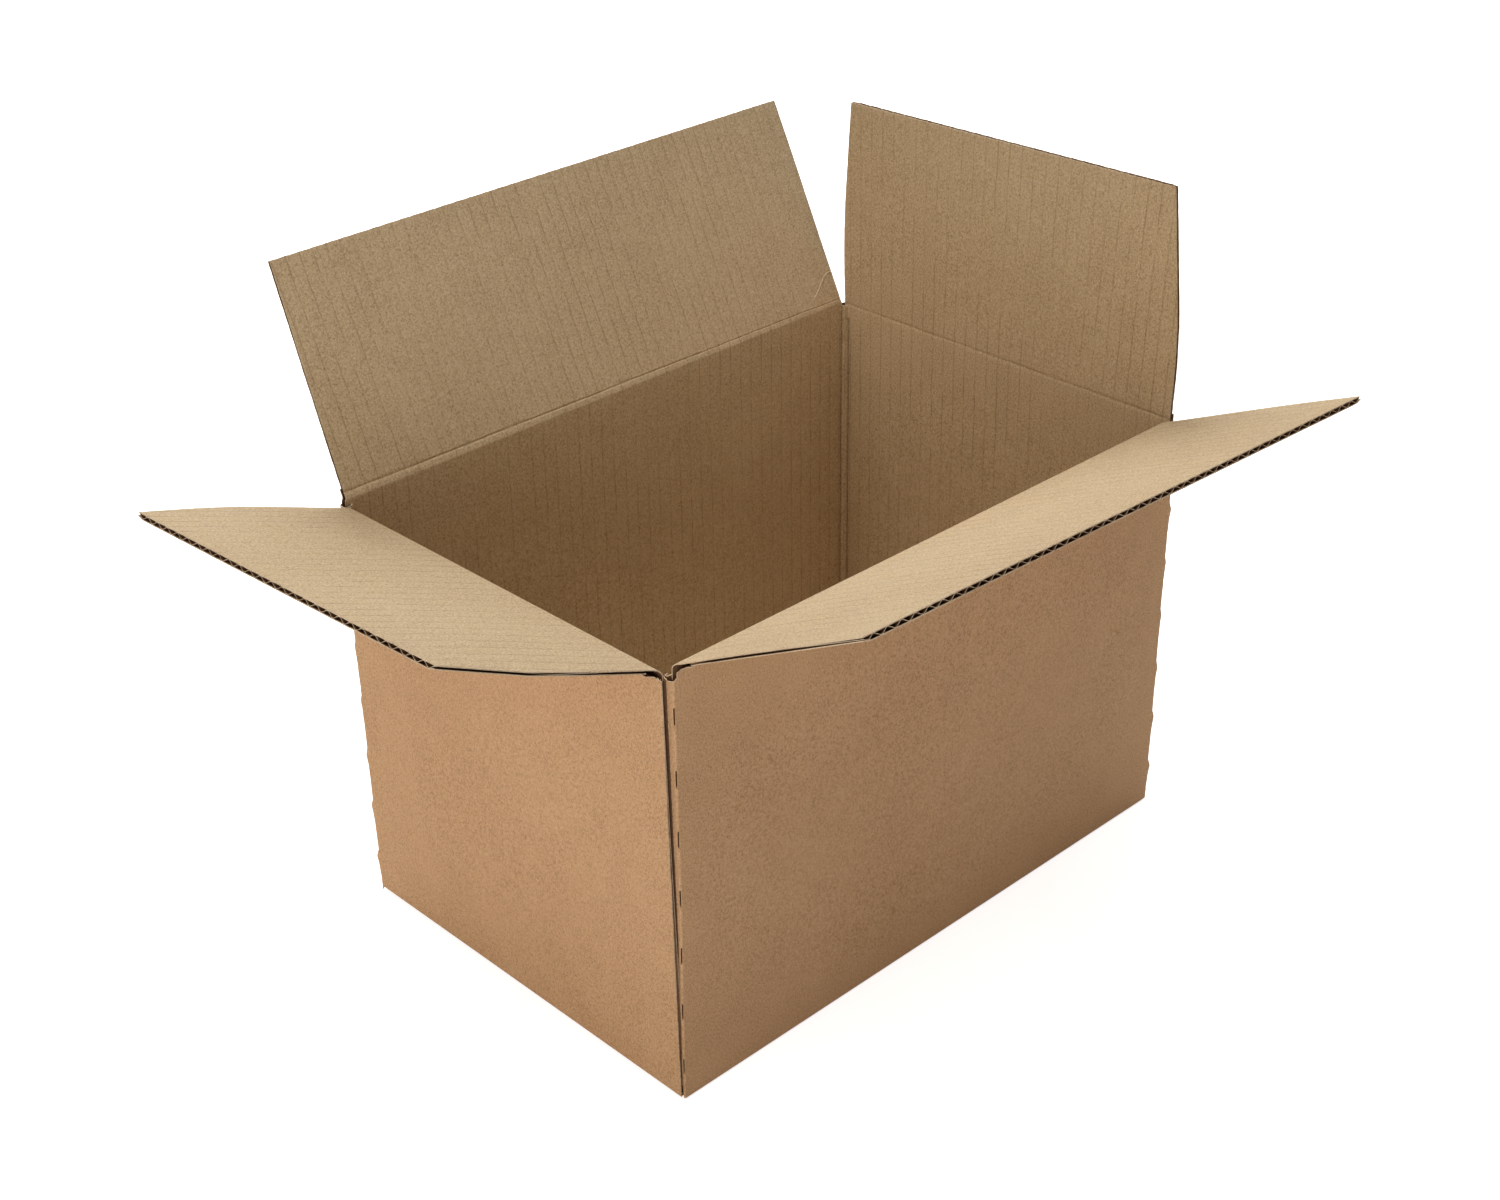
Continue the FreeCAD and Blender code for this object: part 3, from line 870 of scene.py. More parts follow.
@dataclass
class TopFlap:
    """One top flap with uneven edges and a little warp."""

    side: Side
    node: str
    depth: float
    trail: Pairs
    lead: Pairs
    turn: float
    twist: float
    bow: float
    sag: float
    seed: float
    torn: Pairs = ()
    wrinkle: Pairs = ()
    ridge_half: float = 0.45
    ridge_height: float = 0.32

    def lift(self, u: Array, v: Array) -> Array:
        """Warp of the flap.

        Args:
            u: positions along the crease.
            v: distances from the crease.
        Returns:
            The height above the flap's flat plane.
        """
        beyond = np.maximum(v - CREASE_HALF_BAND, 0.0)
        slope = np.tan(np.radians(self.turn + self.twist * u / self.side.half))
        arch = np.sin(np.clip(beyond / (self.depth - CREASE_HALF_BAND), 0, 1) * math.pi)
        droop = np.exp(-(((u + self.side.half) / 22.0) ** 2)) * arch
        ripple = 0.25 * np.sin(u / 31 + self.seed) * np.sin(v / 27 + 2 * self.seed)
        return beyond * slope + self.bow * arch - self.sag * droop + ripple * arch

    def build(self, materials: list[bpy.types.Material]) -> bpy.types.Object:
        """Makes the flap as one piece that rides its body.

        Args:
            materials: one material for each finish, in the order of Finish.
        Returns:
            The piece.
        """
        mesh = BoardMesh(self.node + "_board")
        BoardArea(
            self.side.flap(),
            self.side.offset,
            CREASE_HALF_BAND,
            self.depth,
            inset_line(self.side, self.trail, -1),
            inset_line(self.side, self.lead, 1),
            self.lift,
            seed=self.seed,
            mark_shift=self.side.crease,
            outer_trim=measure_line(self.torn) if self.torn else None,
            rise=self.side.rise,
        ).add_to(mesh)
        if self.wrinkle:
            self._add_wrinkle(mesh)
        piece = mesh.build(materials)
        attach(piece, self.node)
        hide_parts(self.node)
        return piece

    def _add_wrinkle(self, mesh: BoardMesh) -> None:
        """Adds a fine raised ridge where the inside liner was once bent, painted pale as a highlight
        along it.

        Args:
            mesh: the flap's mesh.
        """
        line = np.array(self.wrinkle)
        steps = np.linspace(0, len(line) - 1, 4 * len(line))
        u = np.interp(steps, np.arange(len(line)), line[:, 0])
        v = np.interp(steps, np.arange(len(line)), line[:, 1])
        across = np.stack([-np.gradient(v), np.gradient(u)])
        across = across / np.linalg.norm(across, axis=0)
        offset = np.linspace(-self.ridge_half, self.ridge_half, 5)
        fade = np.sin(np.linspace(0.15, 1, len(steps)) * math.pi) ** 0.4
        u = u[:, None] + across[0][:, None] * offset
        v = v[:, None] + across[1][:, None] * offset
        profile = np.cos(offset / self.ridge_half * math.pi / 2)
        height = self.ridge_height * fade[:, None] * profile[None]
        level = BOARD.caliper + self.lift(u, v)
        panel = self.side.flap()
        marks = np.stack([u + self.side.offset, v + self.side.crease], axis=-1)
        # The ridge takes the pale cut-edge paper and a large share of the pale mask: painted highlight
        # along its top.
        kinds = (Finish.CUT_EDGE, Finish.CUT_EDGE, Finish.CUT_EDGE)
        faces = (panel.points(u, v, level + height), panel.points(u, v, level - 0.12))
        mesh.add_slab(*faces, marks, kinds, 2.0)


@dataclass
class CreaseStrip:
    """The scored band of board that bends between a wall and its flap."""

    flap: TopFlap
    crush: tuple[float, float]
    width: tuple[float, float] = (0.45, 0.45)
    place: tuple[float, float] = (2.6, 2.6)

    def path(self, inner: bool, hidden: bool, u: Array) -> tuple[Array, Array]:
        """Section of the band, out and up from the crease line.

        Args:
            inner: True for the inside liner, False for the outside one.
            hidden: True for the liner's glued face, False for the one that shows.
            u: positions along the crease.
        Returns:
            Out and up in millimetres, rows by columns.
        """
        side = self.flap.side
        angle = math.radians(side.opened)
        share = (u / side.half + 1) / 2
        depth = self.crush[0] + (self.crush[1] - self.crush[0]) * share
        depth = depth * (1 + wander(u / 9, self.flap.seed, 0.4))
        half = self.width[0] + (self.width[1] - self.width[0]) * share
        middle = self.place[0] + (self.place[1] - self.place[0]) * share
        middle = middle + wander(u / 11, self.flap.seed + 4, 0.2)
        full = BOARD.caliper - (BOARD.liner if hidden else 0.0)
        spots: list[tuple[Array, Array]] = []
        zero = u * 0
        if inner:
            for below in (4.5, 3.2, 2.2, 1.4, 0.7):
                spots.append((zero - full, zero - below))
            for step in range(7):
                turn = math.pi + (angle - math.pi / 2) * step / 6
                spots.append((zero + full * math.cos(turn), zero + full * math.sin(turn)))
            leaf = [(0.7, full), (middle - half, full), (middle, full - depth)]
            leaf += [(middle + half, full), (CREASE_HALF_BAND, full)]
        else:
            raised = BOARD.liner if hidden else 0.0
            least = raised * math.tan((math.pi / 2 - angle) / 2)
            for below in (4.5, 3.2, 2.2, 1.4, 0.7, 0.5, 0.3, 0.12, 0.0):
                spots.append((zero - raised, zero - max(below, least)))
            steps = (0.12, 0.3, 0.5, 0.7, 1.4, 2.2, 3.2, CREASE_HALF_BAND)
            leaf = [(max(v, least), raised) for v in steps]
        for v, n in leaf:
            out = v * math.cos(angle) - n * math.sin(angle)
            up = v * math.sin(angle) + n * math.cos(angle)
            spots.append((out + zero, up + zero))
        return np.array([o for o, _ in spots]), np.array([h for _, h in spots])

    def build(self, materials: list[bpy.types.Material]) -> bpy.types.Object:
        """Makes the band in the shape it has at its flap's present angle.

        Args:
            materials: one material for each finish, in the order of Finish.
        Returns:
            The piece.
        """
        side = self.flap.side
        trail, lead = HINGE_INSETS[side.name]
        low = float(inset_line(side, self.flap.trail, -1)(CREASE_HALF_BAND))
        high = float(inset_line(side, self.flap.lead, 1)(CREASE_HALF_BAND))
        wall_low, wall_high = -side.half + trail, side.half - lead
        reach = (min(low, wall_low), max(high, wall_high))
        columns = BOARD.columns(*reach, side.offset, EVEN_STEPS)
        mesh = BoardMesh(self.flap.node + "_crease")
        for inner in (True, False):
            faces = []
            for hidden in (False, True):
                outs, ups = self.path(inner, hidden, columns)
                t = ease(np.linspace(0, 1, len(outs)), 0.3, 0.9)[:, None]
                start = wall_low + (low - wall_low) * t
                end = wall_high + (high - wall_high) * t
                if not inner and self.flap.torn:
                    end = end - self.flap.torn[0][1] * t
                u = np.clip(np.repeat(columns[None, :], len(outs), axis=0), start, end)
                base = side.hinge() + u[..., None] * side.along
                lift = (ups + side.rise(u))[..., None] * UP
                faces.append(base + outs[..., None] * side.outward + lift)
            heights = np.linspace(-CREASE_HALF_BAND, CREASE_HALF_BAND, len(t))
            level = np.repeat(heights[:, None], len(columns), axis=1) + side.crease
            marks = np.stack([u + side.offset, level], axis=-1)
            # Paler along the middle of the band, where it bends: painted highlight along the crease.
            wear_and_highlight = 0.5 * np.exp(-((heights[:, None] / 2.6) ** 2))
            face = Finish.INSIDE if inner else Finish.OUTSIDE
            mesh.add_slab(*faces, marks, (face, Finish.FLUTING, Finish.CUT_EDGE), wear_and_highlight)
        piece = mesh.build(materials)
        across = side.leaf + UP
        across = across / np.linalg.norm(across) * CREASE_REACH
        start = (side.hinge() - across) * MM
        end = (side.hinge() + across) * MM
        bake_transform(piece)
        return piece


@dataclass
class Ribbon:
    """Columns of a liner that runs round the box: place, run, limits and nearness to a fold."""

    spots: list[Array] = field(default_factory=list)
    runs: list[float] = field(default_factory=list)
    tops: list[float] = field(default_factory=list)
    feet: list[float] = field(default_factory=list)
    curls: list[float] = field(default_factory=list)
    folds: list[float] = field(default_factory=list)
    walls: list[tuple[float, Side] | None] = field(default_factory=list)

    def put(
        self,
        spot: Array,
        run: float,
        top: float,
        foot: float,
        curl: float = 0.0,
        fold: float = FAR_FROM_FOLD,
        wall: tuple[float, Side] | None = None,
    ) -> None:
        """Adds one column.

        Args:
            spot: its place in plan.
            run: its position along the sheet.
            top: height of its upper end.
            foot: height of its lower end.
            curl: radius of the turn at its foot, or 0.
            fold: distance from the middle of the nearest upright fold.
            wall: its u on a flat wall and that wall's side, or None in a fold.
        """
        self.spots.append(np.array(spot[:2], float))
        self.runs.append(run)
        self.tops.append(top)
        self.feet.append(foot)
        self.curls.append(curl)
        self.folds.append(fold)
        self.walls.append(wall)

    def inward(self) -> Array:
        """Unit vectors in plan that point into the box."""
        spots = np.array(self.spots)
        tangent = np.gradient(spots, axis=0)
        tangent /= np.linalg.norm(tangent, axis=1)[:, None]
        return np.stack([tangent[:, 1], -tangent[:, 0]], axis=1)


@dataclass
class BoxWalls:
    """The four walls and the glue tab, as liners and medium."""

    sides: tuple[Side, Side, Side, Side]
    seam_foot: float = 0.4
    seam_top: float = 3.2
    foot_crush: float = 1.3
    seam_radius: float = 0.9
    tab_end: float = -70.0
    tab_slant: float = 9.0
    tab_width: float = 32.0
    outer_tab_columns: tuple[float, ...] = (-100.9, -100, -98.5, -96, -92, -86, -80, -75)
    inner_tab_columns: tuple[float, ...] = (-95.5, -93.0, -88.0, -82.0, -76.0)
    fold_columns: tuple[float, ...] = (-1.05, -0.55, -0.28, 0.0, 0.28, 0.55, 1.05)
    first_slit: float = 17.7
    slit_pitch: float = 27.7
    slit_length: float = 7.5
    slit_depth: float = 2.2
    slit_count: int = 7
    foot_rise: float = 0.9
    bulge: float = 0.7

    def seam(self, z: Array) -> Array:
        """The left wall's free edge.

        Args:
            z: heights.
        Returns:
            y of the edge at each height.
        """
        share = np.clip(z / SLOT_FOOT, 0, 1)
        gap = self.seam_foot + (self.seam_top - self.seam_foot) * share
        return -HALF_WIDTH + gap + wander(z / 3, 3.3, 0.12)

    def fullness(self, u: Array, half: float, z: Array, seed: float) -> Array:
        """How far the wall stands out of its flat plane.

        Args:
            u: position along the wall.
            half: half the wall's length.
            z: heights.
            seed: picks the unevenness.
        Returns:
            The distance at each height.
        """
        across = np.clip(1 - (u / half) ** 2, 0, 1)
        height = np.clip((z - 6) / (TALL_CREASE - 18), 0, 1)
        swell = across * np.sin(height * math.pi)
        return swell * (self.bulge + 0.35 * np.sin(u / 37 + seed) * np.sin(z / 31 + seed))

    def slit_rows(self) -> list[float]:
        """Heights that outline every slit and its lips."""
        rows: list[float] = []
        half = self.slit_length / 2
        for k in range(self.slit_count):
            middle = self.first_slit + k * self.slit_pitch
            for step in (-half - 0.3, -half, -half + 0.6, 0, 1.5, half - 0.6, half, half + 0.3):
                rows.append(middle + step)
            rows.extend((middle - half - 3, middle - half - 7, middle + 4.8, middle + 5.6))
        return rows

    def slit_at(self, z: Array) -> Array:
        """1 inside a slit's length and 0 outside it."""
        half = self.slit_length / 2
        count = np.clip(np.round((z - self.first_slit) / self.slit_pitch), 0, self.slit_count - 1)
        away = np.abs(z - (self.first_slit + count * self.slit_pitch))
        return ease(-away, -half - 0.3, -half + 0.6)

    def lip_at(self, z: Array) -> Array:
        """Lips at the slits: short above their peaks and long below them.

        Args:
            z: heights.
        Returns:
            The lip at each height, from 0 to about 1.
        """
        below = (self.first_slit + 5.5 - z) % self.slit_pitch
        rise = ease(below, 0.0, 4.0) * np.exp(-np.maximum(below - 4.0, 0) / 7.0)
        uneven = 0.85 + 0.3 * np.sin(z / 23)
        return rise * uneven * ease(z, 2, 12) * (1 - ease(z, SLOT_FOOT - 14, SLOT_FOOT - 6))

    def build(self, materials: list[bpy.types.Material]) -> list[bpy.types.Object]:
        """Makes the outside liner, the inside liner and the medium of the walls.

        Args:
            materials: one material for each finish, in the order of Finish.
        Returns:
            The three pieces.
        """
        made = [m.build(materials) for m in (self._outside(), self._inside(), self._medium())]
        for piece in made:
            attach(piece, "box")
            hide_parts("box_body")
        return made

    def _rim(self, side: Side, u: Array) -> Array:
        """The wall's top: under the crease band, or down to the slot's foot.

        Args:
            side: the wall's side.
            u: positions along the wall.
        Returns:
            The height of the top at each position.
        """
        trail, lead = HINGE_INSETS[side.name]
        inside = np.minimum(u + side.half - trail, side.half - lead - u)
        under = side.crease - CREASE_HALF_BAND + side.rise(u)
        corner = 0.9 * (1 - ease(-inside, 0.0, 1.2))
        return np.where(inside > 0, under, SLOT_FOOT + corner)

    def _outside(self) -> BoardMesh:
        """The outside liner: one ribbon round the box and onto the tab.

        Returns:
            The liner's mesh.
        """
        ribbon = Ribbon()
        for number, side in enumerate(self.sides):
            trail, lead = HINGE_INSETS[side.name]
            shift = BOARD.caliper if side is FRONT else 0.0
            radius = self.seam_radius if side is FRONT else FOLD_RADIUS
            arc = radius * math.pi / 4
            first = -side.half + (0.0 if number == 0 else FOLD_RADIUS)
            last = side.half - radius - shift
            steps = [-side.half + trail + d for d in (-1.2, -0.6, -0.02, 0.02)]
            steps += [side.half - lead + d for d in (-0.02, 0.02, 0.6, 1.2)]
            steps += [first + d for d in (0.5, 1.2, 2.4)] + [last - d for d in (0.5, 1.2, 2.4)]
            marks = BOARD.columns(first, last, side.offset, (0.0, 0.5))
            marks = np.unique(np.round(np.concatenate([marks, steps]), 3))
            low, curl = (2.4, 0.7) if side in (LEFT, RIGHT) else (0.0, 1.5)
            for u in marks[(marks >= first) & (marks <= last)]:
                spot = side.outward * side.reach + side.along * u
                before = FAR_FROM_FOLD if number == 0 else u - first + FOLD_RADIUS * math.pi / 4
                near = min(before, last - u + arc)
                rim = float(self._rim(side, u))
                ribbon.put(spot, u + side.offset, rim, low, curl, near, (u, side))
            corner = side.outward * (side.reach - radius)
            corner = corner + side.along * (side.half - shift - radius)
            for d in self.fold_columns:
                if abs(d) < arc:
                    turn = math.pi / 4 + d / radius
                    away = side.outward * math.cos(turn) + side.along * math.sin(turn)
                    where = side.half + side.offset - shift + d
                    spot = corner + away * radius
                    ribbon.put(spot, where, SLOT_FOOT, self.foot_rise, 0.0, abs(d))
        for y in (*self.outer_tab_columns, self.tab_end):
            slant = self.tab_slant * (y + HALF_WIDTH) / self.tab_width
            where = FRONT.offset + FRONT.half + y + HALF_WIDTH - BOARD.caliper
            spot = np.array((-HALF_LENGTH + BOARD.caliper, y))
            ribbon.put(spot, where, SLOT_FOOT - slant, 6.5 + slant, 0.0, y + HALF_WIDTH)
        heights = [*np.arange(8, 190, 7.0), 191.5, 193, 194.5, 196.3, 197.4, 198.2, 198.8, 199.3]
        rows = [*heights, 200.2, 2.2, 3.8, 5.0, 6.0, *self.slit_rows()]
        grid, level = self._sheet(ribbon, np.unique(np.round(rows, 3)), (0.0, BOARD.liner), True)
        run = np.repeat(np.array(ribbon.runs)[None], len(level), axis=0)
        lips = self._lips(level, ribbon)
        mesh = BoardMesh("wall_outside_liner")
        kinds = (Finish.OUTSIDE, Finish.FLUTING, Finish.CUT_EDGE)
        marks = np.stack([run, level], axis=-1)
        mesh.add_slab(grid[0], grid[1], marks, kinds, np.clip(lips, 0, 1))
        return mesh

    def _sheet(
        self, ribbon: Ribbon, rows: Array, layers: tuple[float, float], folded: bool
    ) -> tuple[Array, Array]:
        """Points of a ribbon's two faces.

        Args:
            ribbon: the columns.
            rows: heights of the rows.
            layers: distance of each face from the ribbon's line, inwards.
            folded: True for the outside liner, with its slits and curled foot.
        Returns:
            Both faces, 2 by rows by columns by 3, and the height of each point.
        """
        base, inward = np.array(ribbon.spots), ribbon.inward()
        top, foot, curl = (np.array(x) for x in (ribbon.tops, ribbon.feet, ribbon.curls))
        turns = np.radians([0, 22, 45, 68]) if folded else np.zeros(0)
        z = np.concatenate([np.zeros(len(turns)), rows])[:, None] + 0 * top[None]
        bend = np.concatenate([turns, np.full(len(rows), math.pi / 2)])[:, None]
        level = np.clip(z, (foot + curl)[None], top[None])
        swell = np.zeros_like(z)
        for c, mark in enumerate(ribbon.walls):
            if mark is not None:
                u, side = mark
                swell[:, c] = self.fullness(u, side.half, level[:, c], side.offset)
                if not folded:
                    relief = BOARD.inside_relief(np.array(u), side.offset)
                    swell[:, c] -= relief * ease(top[c] - level[:, c], 0, 6)
        lips = self._lips(level, ribbon) if folded else 0.0
        rounded = (np.arange(len(z)) < len(turns))[:, None] & (curl > 0)[None]
        grid = np.zeros((2, *z.shape, 3))
        for layer, n in enumerate(layers):
            arc = curl - (curl - n) * np.sin(bend)
            drop = foot + curl - (curl - n) * np.cos(bend)
            shift = np.where(rounded, arc, n) - swell - lips
            grid[layer, ..., :2] = base[None] + inward[None] * shift[..., None]
            grid[layer, ..., 2] = np.where(rounded, drop, level)
        tab_side = BOARD.caliper + (-0.01 if folded else 0.02)
        left = (base[:, 0] < -HALF_LENGTH + tab_side)[None]
        free = self.seam(grid[0, ..., 2])
        if folded:
            corner = np.array(ribbon.runs) - FRONT.offset - FRONT.half + BOARD.caliper
            near = np.exp(-((corner / 5.0) ** 2))[None] * (1 - ease(level, 5, 120))
            grid[..., 0] -= self.foot_crush * near[None] * ~left[None]
        for layer in range(2):
            y = grid[layer, ..., 1]
            grid[layer, ..., 1] = np.where(left, np.maximum(y, free), y)
        return grid, grid[0, ..., 2].copy()

    def _lips(self, z: Array, ribbon: Ribbon) -> Array:
        """How far the liner stands out, or is cut in, at the upright folds.

        Args:
            z: heights, rows by columns.
            ribbon: the columns.
        Returns:
            The distance, outwards, rows by columns.
        """
        fold = np.array(ribbon.folds)[None]
        at_seam = (np.array(ribbon.runs) > FRONT.offset + FRONT.half / 2)[None]
        height = np.where(at_seam, 0.12, 0.9)
        rise = height * self.lip_at(z) * np.exp(-((fold / 1.8) ** 2))
        cut = self.slit_at(z) * np.where(fold < 0.05, self.slit_depth + height, 0.0)
        return rise - cut + wander(z, 2.0, 0.1) * np.exp(-((fold / 1.5) ** 2))

    def _inside(self) -> BoardMesh:
        """The inside liner: one ribbon with a pressed strip at every upright fold.

        Returns:
            The liner's mesh.
        """
        ribbon = Ribbon()
        thick = BOARD.caliper
        half_press = ((2.9, -0.1), (2.7, -1.5), (1.9, -1.7), (1.7, 0.3), (1.2, 1.2))
        pressed = half_press + tuple((over, back) for back, over in half_press[-2::-1])
        for number, side in enumerate(self.sides):
            shift = thick if side is FRONT else 0.0
            first = -side.half + (0.0 if number == 0 else thick + 3.0)
            last = side.half - thick - 3.0 - shift
            low = 7.5 if side in (LEFT, RIGHT) else 4.0
            for u in BOARD.columns(first, last, side.offset, FINE_STEPS[:-1]):
                spot = side.outward * (side.reach - thick) + side.along * u
                rim = float(self._rim(side, u))
                ribbon.put(spot, u + side.offset, rim, low, 0.0, FAR_FROM_FOLD, (u, side))
            corner = side.outward * (side.reach - thick)
            corner = corner + side.along * (side.half - thick - shift)
            for back, over in pressed:
                spot = corner - side.along * back - side.outward * over
                where = side.half + side.offset - shift + (over - back) / 2
                ribbon.put(spot, where, SLOT_FOOT, 7.5)
        for y in (*self.inner_tab_columns, self.tab_end):
            slant = self.tab_slant * (y + HALF_WIDTH) / self.tab_width
            where = FRONT.offset + FRONT.half + y + HALF_WIDTH - thick
            spot = np.array((-HALF_LENGTH + 2 * thick, y))
            ribbon.put(spot, where, SLOT_FOOT - slant, 7.5 + slant)
        rows = np.array([4, 5.5, 7.5, 10, *np.linspace(16, 184, 15), 189, 193, 196.3, 198, 199.3])
        rows = np.append(rows, 200.2)
        grid, level = self._sheet(ribbon, rows, (0.0, -BOARD.liner), False)
        behind = (grid[..., 0] < -HALF_LENGTH + thick + 0.02) & (grid[..., 1] < self.tab_end + 2)
        grid[..., 0] = np.where(behind, grid[..., 0] - 0.06, grid[..., 0])
        run = np.repeat(np.array(ribbon.runs)[None], len(level), axis=0)
        mesh = BoardMesh("wall_inside_liner")
        kinds = (Finish.INSIDE, Finish.FLUTING, Finish.CUT_EDGE)
        mesh.add_slab(grid[0], grid[1], np.stack([run, level], axis=-1), kinds)
        return mesh

    def _medium(self) -> BoardMesh:
        """The waved medium inside every wall.

        Returns:
            The medium's mesh.
        """
        mesh = BoardMesh("wall_medium")
        half = BOARD.medium / 2
        for number, side in enumerate(self.sides):
            end = side.half - 3.2 - (3 if side is FRONT else 0)
            start = -side.half + (0.0 if number == 0 else 3.2)
            columns = BOARD.columns(start, end, side.offset, WAVE_STEPS)
            low = 6.5 if side in (LEFT, RIGHT) else 4.0
            rows = np.array([low, 60, 120, 180, side.crease - CREASE_HALF_BAND, SLOT_FOOT])
            u = np.repeat(columns[None, :], len(rows), axis=0)
            z = np.repeat(rows[:, None], len(columns), axis=1)
            z = np.minimum(z, self._rim(side, u) - 0.15)
            if number == 0:
                u = np.maximum(u, self.seam(z) + 0.1)
            middle = BOARD.medium_height(u, side.offset)
            middle = middle - self.fullness(u, side.half, z, side.offset)
            panel = side.wall()
            marks = np.stack([u + side.offset, z], axis=-1)
            kinds = (Finish.FLUTING, Finish.FLUTING, Finish.CUT_EDGE)
            faces = (panel.points(u, z, middle + half), panel.points(u, z, middle - half))
            mesh.add_slab(*faces, marks, kinds)
        return mesh


@dataclass
class BottomFlaps:
    """The four bottom flaps, folded in and glued."""

    sides: tuple[Side, Side, Side, Side]
    end_depth: float = 104.75
    meeting_gap: float = 0.25
    outer_inset: float = 1.5
    inner_inset: float = 3.8

    def build(self, materials: list[bpy.types.Material]) -> bpy.types.Object:
        """Makes the flaps as one piece.

        Args:
            materials: one material for each finish, in the order of Finish.
        Returns:
            The piece.
        """
        mesh = BoardMesh("bottom_flaps")
        for side in self.sides:
            is_end = side.name in ("left", "right")
            inset = self.inner_inset if is_end else self.outer_inset
            half = side.half - inset
            depth = self.end_depth if is_end else side.reach - self.meeting_gap
            BoardArea(
                side.bottom(BOARD.caliper if is_end else 0.0),
                side.offset,
                FOLD_RADIUS if is_end else 1.4,
                depth,
                lambda v, h=half: -h + 0 * v,
                lambda v, h=half: h + 0 * v,
                lambda u, v: 0 * u * v,
                seed=side.offset / 100,
                mark_shift=-depth,
                rows=8,
                edge_crush=0.2,
                side_crush=1.7,
            ).add_to(mesh)
        piece = mesh.build(materials)
        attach(piece, "box")
        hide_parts("box_body")
        return piece


@dataclass(frozen=True)
class Lamp:
    """One large soft lamp that points at the box."""

    name: str
    place: tuple[float, float, float]
    size: float
    power: float
    tone: tuple[float, float, float] = (1.0, 1.0, 1.0)
    aim_height: float = 0.1

    def build(self) -> None:
        """Hangs the lamp."""
        data = bpy.data.lights.new(self.name, "AREA")
        data.shape = "DISK"
        data.size = self.size
        data.energy = self.power
        data.color = self.tone
        lamp = bpy.data.objects.new(self.name, data)
        lamp.location = self.place
        aim = Vector((0.0, 0.0, self.aim_height)) - Vector(self.place)
        lamp.rotation_mode = "QUATERNION"
        lamp.rotation_quaternion = aim.to_track_quat("-Z", "Y")
        bpy.context.scene.collection.objects.link(lamp)


@dataclass(frozen=True)
class Stage:
    """Camera, soft light and pale floor."""

    eye: tuple[float, float, float] = (-0.636274, -0.651887, 0.652525)
    right: tuple[float, float, float] = (0.71739, -0.69655, -0.01335)
    up: tuple[float, float, float] = (0.35394, 0.34789, 0.86816)
    lens: float = 56.652
    sensor: float = 36.0
    sky: float = 0.06
    floor_glow: float = 0.8
    floor_clear: tuple[float, float] = (0.38, 0.85)
    floor_half: float = 6.0
    floor_drop: float = 0.0004
    floor_tone: tuple[float, float, float, float] = (0.9, 0.9, 0.9, 1.0)
    floor_roughness: float = 0.9
    lamps: tuple[Lamp, ...] = (
        Lamp("side lamp", (-1.71, 0.0, 1.14), 1.5, 7.0, (1.0, 0.92, 0.84)),
        Lamp("top lamp", (0.0, 0.0, 1.75), 1.6, 15.0),
        Lamp("back lamp", (0.7, 1.3, 1.3), 1.2, 21.0),
        Lamp("low lamp", (-1.5, -1.1, 0.28), 1.0, 10.0),
    )

    def build(self) -> None:
        """Sets the stage."""
        self._camera()
        for lamp in self.lamps:
            lamp.build()
        self._world()
        self._floor()
        bpy.context.scene.view_settings.view_transform = "Standard"

    def _camera(self) -> None:
        """The camera of the reference picture."""
        data = bpy.data.cameras.new("camera")
        data.lens = self.lens
        data.sensor_width = self.sensor
        camera = bpy.data.objects.new("camera", data)
        right, up = Vector(self.right), Vector(self.up)
        back = right.cross(up)
        turn = Matrix((right, up, back)).transposed().to_4x4()
        camera.matrix_world = Matrix.Translation(self.eye) @ turn
        bpy.context.scene.collection.objects.link(camera)
        bpy.context.scene.camera = camera

    def _world(self) -> None:
        """Even grey light that the camera sees as white."""
        world = bpy.data.worlds.new("studio")
        world.use_nodes = True
        bpy.context.scene.world = world
        sheet = Sheet(world.node_tree)
        nodes = world.node_tree.nodes
        light = nodes["Background"]
        light.inputs["Color"].default_value = (1.0, 1.0, 1.0, 1.0)
        light.inputs["Strength"].default_value = self.sky
        seen = sheet.add("ShaderNodeBackground")
        seen.inputs["Color"].default_value = (1.0, 1.0, 1.0, 1.0)
        seen.inputs["Strength"].default_value = 1.0
        mix = sheet.add("ShaderNodeMixShader")
        sheet.feed(mix.inputs[0], sheet.add("ShaderNodeLightPath").outputs["Is Camera Ray"])
        sheet.feed(mix.inputs[1], light.outputs[0])
        sheet.feed(mix.inputs[2], seen.outputs[0])
        sheet.feed(nodes["World Output"].inputs["Surface"], mix.outputs[0])

    def _floor(self) -> None:
        """A plain pale floor that keeps the soft shadow."""
        mesh = bpy.data.meshes.new("floor")
        half = self.floor_half
        corners = [(-half, -half, 0), (half, -half, 0), (half, half, 0), (-half, half, 0)]
        mesh.from_pydata(corners, [], [(0, 1, 2, 3)])
        floor = bpy.data.objects.new("floor", mesh)
        floor.location.z = -self.floor_drop
        bpy.context.scene.collection.objects.link(floor)
        paint = bpy.data.materials.new("pale floor")
        paint.use_nodes = True
        shader = paint.node_tree.nodes["Principled BSDF"]
        sheet = Sheet(paint.node_tree)
        shader.inputs["Base Color"].default_value = self.floor_tone
        shader.inputs["Roughness"].default_value = self.floor_roughness
        shader.inputs["Specular IOR Level"].default_value = 0.0
        shader.inputs["Emission Color"].default_value = (1.0, 1.0, 1.0, 1.0)
        seen = sheet.add("ShaderNodeLightPath").outputs["Is Camera Ray"]
        away = sheet.add("ShaderNodeVectorMath", operation="LENGTH")
        sheet.feed(away.inputs[0], sheet.add("ShaderNodeTexCoord").outputs["Object"])
        glow = sheet.span(away.outputs["Value"], *self.floor_clear, self.floor_glow, 1.0)
        sheet.feed(shader.inputs["Emission Strength"], sheet.math("MULTIPLY", seen, glow))
        mesh.materials.append(paint)


